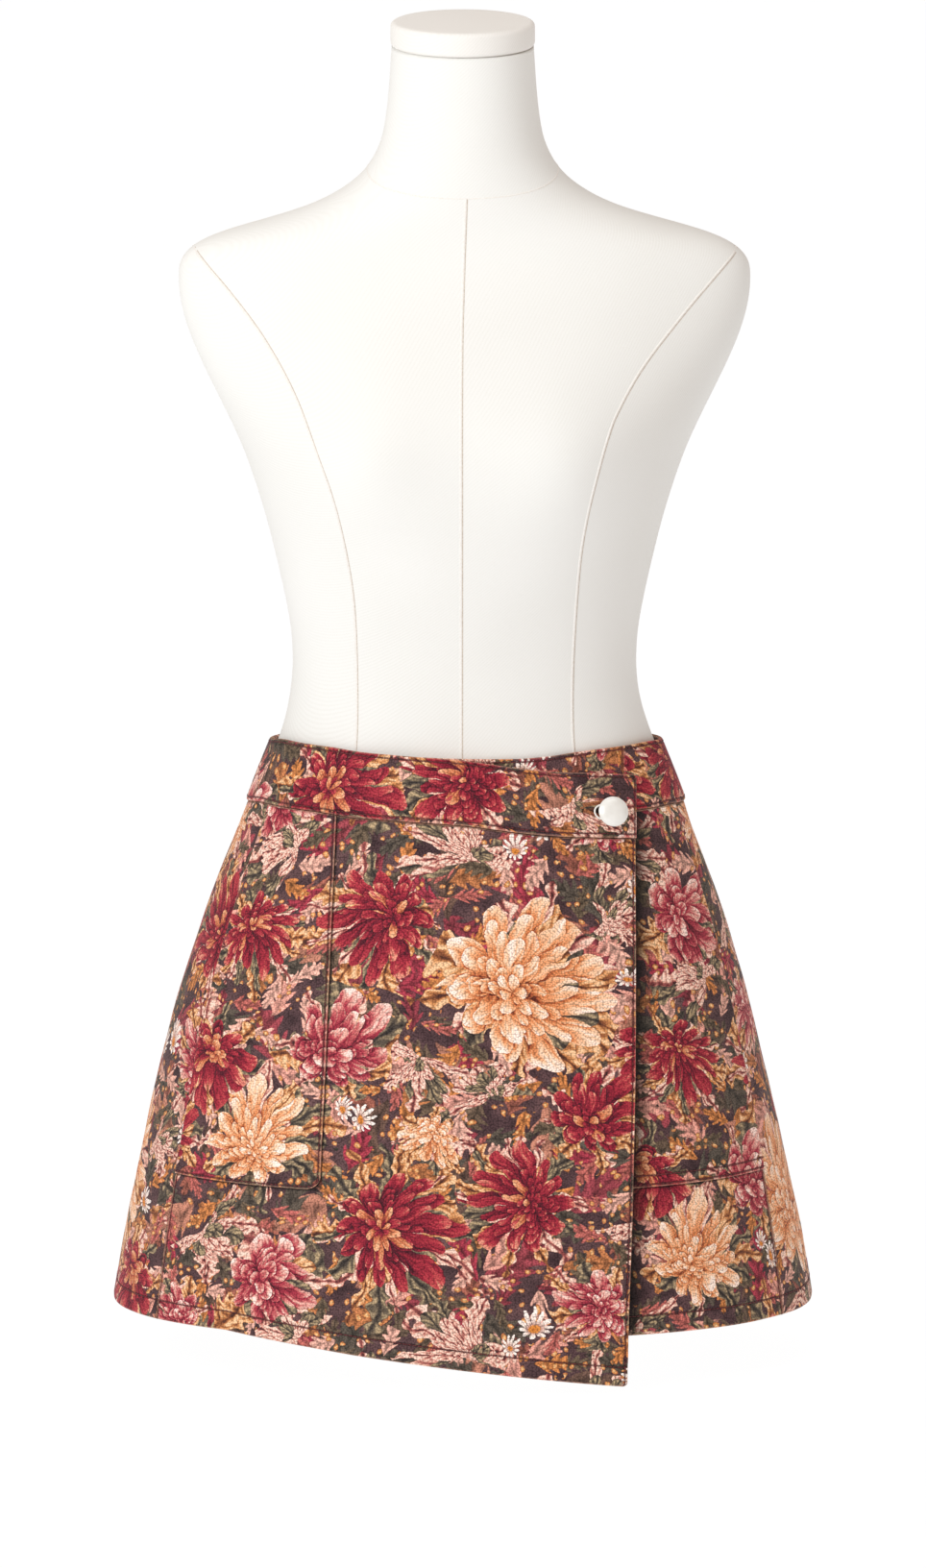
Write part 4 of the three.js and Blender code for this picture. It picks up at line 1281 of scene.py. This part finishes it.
def jacquard_cotton():
    """Heavy figured cotton, printed and woven in small floats: matt, pebbled, each float of one colour."""
    material, add, shader = new_material("printed_jacquard_cotton")
    place = on_cloth(add)
    floats_at = add(V_TIMES, place, (1 / WEAVE[0], 1 / WEAVE[1], 1))
    centre = add(CELLS, floats_at, 1.0, named={"Randomness": 0.8}, out="Position")
    gap = pick(centre.node.outputs, "Distance")
    float_tint = add(SPLIT, centre.node.outputs["Color"], out="X")
    centre = add(V_TIMES, centre, (WEAVE[0], WEAVE[1], 1))
    sampled = add(MIX_VECTOR, 0.22, place, centre)
    colour = floral_print(add, sampled)
    # The print is darkened down between the floats as painted shade, and each float takes the dye a little
    # differently.
    shade = add(RANGE, gap, 0.20, 0.70, 1.16, 0.50)
    shade = add(TIMES, shade, add(TIMES_PLUS, float_tint, 0.16, 0.92))
    colour = add(V_SCALE, colour, shade)
    colour = add(V_TIMES, colour, FADE)
    # Painted shade in a furrow of stitches and beside a sewn-on piece, and painted shadow in under the
    # wrap's free edge.
    rows = add(ATTRIBUTE, attribute_name="rows", out="Vector")
    rows = add(VECTOR, rows, operation="ABSOLUTE")
    shade_reach = add(ATTRIBUTE, attribute_name="shade_reach", out="Vector")
    row = add(SPLIT, rows, out="X")
    for axis in "YZ":
        row = add(LOWER, row, add(SPLIT, rows, out=axis))
    furrow_shade = add(RANGE, row, 0.25, 1.15, 0.42, 1.0)
    # Painted shadow: darkest at the wrap's free edge, fading over about 13 mm out from under it.
    under = add(RANGE, add(SPLIT, shade_reach, out="X"), -3.0, 13.5, 0.06, 1.0, interpolation_type="SMOOTHSTEP")
    seam_shade = add(RANGE, add(SPLIT, shade_reach, out="Y"), 0.5, 1.7, 0.30, 1.0)
    painted_shade = add(TIMES, add(TIMES, furrow_shade, under), seam_shade)
    colour = add(V_SCALE, colour, painted_shade)
    # Folded edges are rubbed pale.
    fold = add(ATTRIBUTE, attribute_name="fold", out="Fac")
    rub = add(NOISE, place, 0.35, 2.0)
    worn = add(RANGE, fold, 0.3, 1.1, 0.62, 0.0)
    worn = add(TIMES, worn, add(RANGE, rub, 0.38, 0.62, 0.2, 1.0))
    colour = add(MIX_COLOUR, worn, colour, linear("#dba58c"))
    rough = add(RANGE, gap, 0.1, 0.8, 0.62, 0.90)
    fill(
        add, shader, (0.55, 0.0003, add(TIMES, gap, -1.0)), Base_Color=colour, Roughness=rough,
        Specular_IOR_Level=0.25, Sheen_Weight=0.05, Sheen_Roughness=0.5,
    )
    return material


def jacquard_reverse():
    """The back of the same cloth: unprinted warp with dye showing through in soft blots."""
    material, add, shader = new_material("jacquard_cotton_reverse")
    place = on_cloth(add)
    threads = add(CELLS, place, 0.8, named={"Randomness": 0.5}, out="Distance")
    blots = add(NOISE, place, 1 / 24, 3.0)
    colour = add(RAMP, blots, stops=[(0.32, "#6b4a42"), (0.5, "#97705f"), (0.68, "#b98e78")])
    # Painted shade: darker down between the threads.
    colour = add(V_SCALE, colour, add(RANGE, threads, 0.2, 0.8, 1.05, 0.7))
    relief = (0.5, 0.0003, threads)
    fill(add, shader, relief, Base_Color=colour, Roughness=0.9, Specular_IOR_Level=0.2, Sheen_Weight=0.1)
    return material


def form_twill(name, shades):
    """Cotton twill stretched over the form: matt, off-white, with fine ribs that climb to the right."""
    material, add, shader = new_material(name)
    place = add(COORDINATES, out="Object")
    # Real twill has two ribs to the millimetre; one in 1.9 mm is the finest that shows.
    slanted = add(V_TIMES, place, (220, 220, -247))
    bands = {"wave_type": "BANDS", "bands_direction": "DIAGONAL"}
    ribs = add("ShaderNodeTexWave", slanted, 1.0, 1.2, 1.0, 0.4, out="Fac", **bands)
    nap = add(NOISE, place, 900.0, 2.0)
    broad = add(NOISE, place, 6.0, 2.0)
    tone = add(TIMES_PLUS, nap, 0.20, add(TIMES, broad, 0.7))
    tone = add(TIMES_PLUS, ribs, 0.14, tone)
    colour = add(RAMP, tone, stops=[(0.25, shades[0]), (0.5, shades[1]), (0.8, shades[2])])
    relief = (0.12, 0.0002, add(TIMES_PLUS, nap, 0.4, ribs))
    fill(add, shader, relief, Base_Color=colour, Roughness=0.82, Specular_IOR_Level=0.2, Sheen_Weight=0.05)
    return material


def thread(name, dark, pale, rough=0.6):
    """Mercerised cotton thread: a slight lustre, its two plies showing as darker turns."""
    material, add, shader = new_material(name)
    place = add(COORDINATES, out="Object")
    plies = add(NOISE, place, 900.0, 1.0)
    colour = add(RAMP, plies, stops=[(0.35, dark), (0.65, pale)])
    relief = (0.3, 0.0001, plies)
    fill(add, shader, relief, Base_Color=colour, Roughness=rough, Specular_IOR_Level=0.4, Sheen_Weight=0.1)
    return material


def pearl_lacquer():
    """Pressed brass under pearl-white lacquer: satin, with a faint brushed bloom."""
    material, add, shader = new_material("pearl_lacquered_brass")
    place = add(COORDINATES, out="Object")
    bloom = add(NOISE, place, 160.0, 3.0)
    grain = add(NOISE, place, 2400.0, 2.0)
    colour = add(RAMP, bloom, stops=[(0.25, "#ebe8e3"), (0.7, "#f4f2ee")])
    rough = add(RANGE, grain, 0.3, 0.7, 0.30, 0.38)
    fill(
        add, shader, (0.06, 0.0001, grain), Base_Color=colour, Roughness=rough, Metallic=0.1, Coat_Weight=0.3,
        Coat_Roughness=0.25,
    )
    return material


def studio_paper():
    """Matt white background paper."""
    material, add, shader = new_material("white_background_paper")
    place = add(COORDINATES, out="Object")
    fibres = add(NOISE, place, 30.0, 2.0)
    colour = add(RAMP, fibres, stops=[(0.3, "#3a3a3a"), (0.7, "#404040")])
    fill(
        add, shader, Base_Color=colour, Roughness=0.95, Specular_IOR_Level=0.1, Emission_Color=(1, 1, 1, 1),
        Emission_Strength=0.98,
    )
    return material


cloth, reverse = jacquard_cotton(), jacquard_reverse()
twill = form_twill("bleached_cotton_twill", ("#e7e5e1", "#eeedea", "#f3f2f0"))
block_twill = form_twill("natural_cotton_twill", ("#e8e4df", "#efece8", "#f4f2ef"))
red_thread = thread("dark_red_cotton_thread", "#3d1216", "#7a2a30")
rust_thread = thread("rust_silk_buttonhole_thread", "#7a3422", "#c9824f", 0.5)
seam_edge = thread("cover_seam_edge", "#ebe6e0", "#f2efec", 0.8)
seam_line = thread("cover_seam_line", "#c2b2a4", "#d6cabf", 0.8)
lacquer = pearl_lacquer()
floor.data.materials.append(studio_paper())
for name in wall_rows:
    mesh = pieces[name].data
    mesh.materials.clear()
    mesh.materials.append(cloth)
    if "band" not in name:
        mesh.materials.append(reverse)
        first = mesh["reverse_from"]
        mesh.polygons.foreach_set("material_index", [0] * first + [1] * (len(mesh.polygons) - first))
finishes = {"form_cover": twill, "neck_block": block_twill, "button_cap": lacquer, "button_shank": lacquer}
for name, material in finishes.items():
    pieces[name].data.materials.append(material)

running, laid = running_stitch_tree(), laid_thread_tree()
routes = [stitched_line(name, *line) for name, row in wall_rows.items() for line in row["stitched"]]
sewn("topstitching", running, routes, TOPSTITCH, red_thread, "floral_cloth")
turn = np.linspace(0, 2 * math.pi, 49)[:-1]
ring = np.stack([np.cos(turn), np.sin(turn), np.cos(turn)], axis=1) * LOOP["reach"] + LOOP["middle"]
loop = [moved(ring, BUTTON_FRAME)]
sewn("button_loop", laid, loop, {"Thickness": 1.3}, lacquer, "button_metal", closed=True)
sewn("buttonhole_sewing", laid, buttonhole_stitches(), {"Thickness": 0.5}, rust_thread, "floral_cloth")

# ---- seams of the form's cover

# Each seam of the cover as (x, height) down the front, from the shoulder to under the garment.
CENTRE_SEAM = [(1.0, 801.8), (-1.0, 745), (-2.2, 692), (-2.3, 560), (-2.3, 428), (-2.3, 300)]
LEFT_PRINCESS = [
    (-183, 760), (-156.3, 731.8), (-134.2, 703.9), (-114.7, 670.4), (-99.8, 633), (-88.7, 600.7),
    (-80.3, 563.1), (-75.1, 526.4), (-73.1, 476.7), (-73.8, 428.7), (-80, 380), (-92, 300),
]
RIGHT_PRINCESS = [
    (184.5, 760), (168.7, 744), (147.2, 721), (121.2, 690), (104.2, 662.7), (97.2, 646), (89.8, 620),
    (83.2, 591.3), (78.2, 559.1), (74.6, 512.6), (72.8, 467.5), (73.8, 427), (80, 380), (92, 300),
]


def through(points, step=2.5):
    """A smooth line through points, by the Catmull-Rom rule."""
    points = np.array(points, float)
    ends = np.concatenate([[2 * points[0] - points[1]], points, [2 * points[-1] - points[-2]]])
    line = []
    for a, b, c, d in zip(ends, ends[1:], ends[2:], ends[3:]):
        for t in np.arange(0, 1, step / max(np.linalg.norm(c - b), step)):
            bend = (2 * a - 5 * b + 4 * c - d) * t**2 + (3 * b - a - 3 * c + d) * t**3
            line.append(0.5 * (2 * b + (c - a) * t + bend))
    return np.array([*line, points[-1]])


def down_the_form(points, behind):
    """The angles and heights of a seam given by x and height, on the front or the back of the form."""
    x, z = through(points).T
    theta = front_angle(form_section(z), x)
    return (math.pi - theta if behind else theta), z


def seam_route(theta, z, out, beside_by):
    place = form_point(theta, z)
    normal = outward(theta, z, form_point, FORM_TOP)
    aside = unit(np.cross(normal, np.gradient(place, axis=0)))
    return place + normal * out + aside * beside_by


# The seams' welts and stitches, in mm: how thick, how far out the middle lies, and how far to one side.
WELT, WELT_STITCHES, NECK_WELT = (2.6, -0.85, 0.0), (0.7, -0.12, 1.05), (2.4, -0.95, 0.0)
NECK_SEAM = {"height": 815.0, "front": -13.2, "back": 3.0}

ring_angle = np.linspace(0, 2 * math.pi, 181)[:-1]
forward = np.cos(ring_angle)
neck_height = NECK_SEAM["height"] + NECK_SEAM["front"] * np.maximum(forward, 0) ** 1.3
neck_height = neck_height + NECK_SEAM["back"] * np.maximum(-forward, 0)
down_seams = [
    down_the_form(points, behind)
    for points in (CENTRE_SEAM, LEFT_PRINCESS, RIGHT_PRINCESS)
    for behind in (False, True)
]
for name, seams, (thickness, out, aside), material in (
    ("cover_seams", down_seams, WELT, seam_edge),
    ("cover_seam_stitching", down_seams, WELT_STITCHES, seam_line),
    ("neck_seam", [(ring_angle, neck_height)], NECK_WELT, seam_edge),
):
    routes = [seam_route(theta, z, out, aside) for theta, z in seams]
    sewn(name, laid, routes, {"Thickness": thickness}, material, "form_cover", closed=name == "neck_seam")
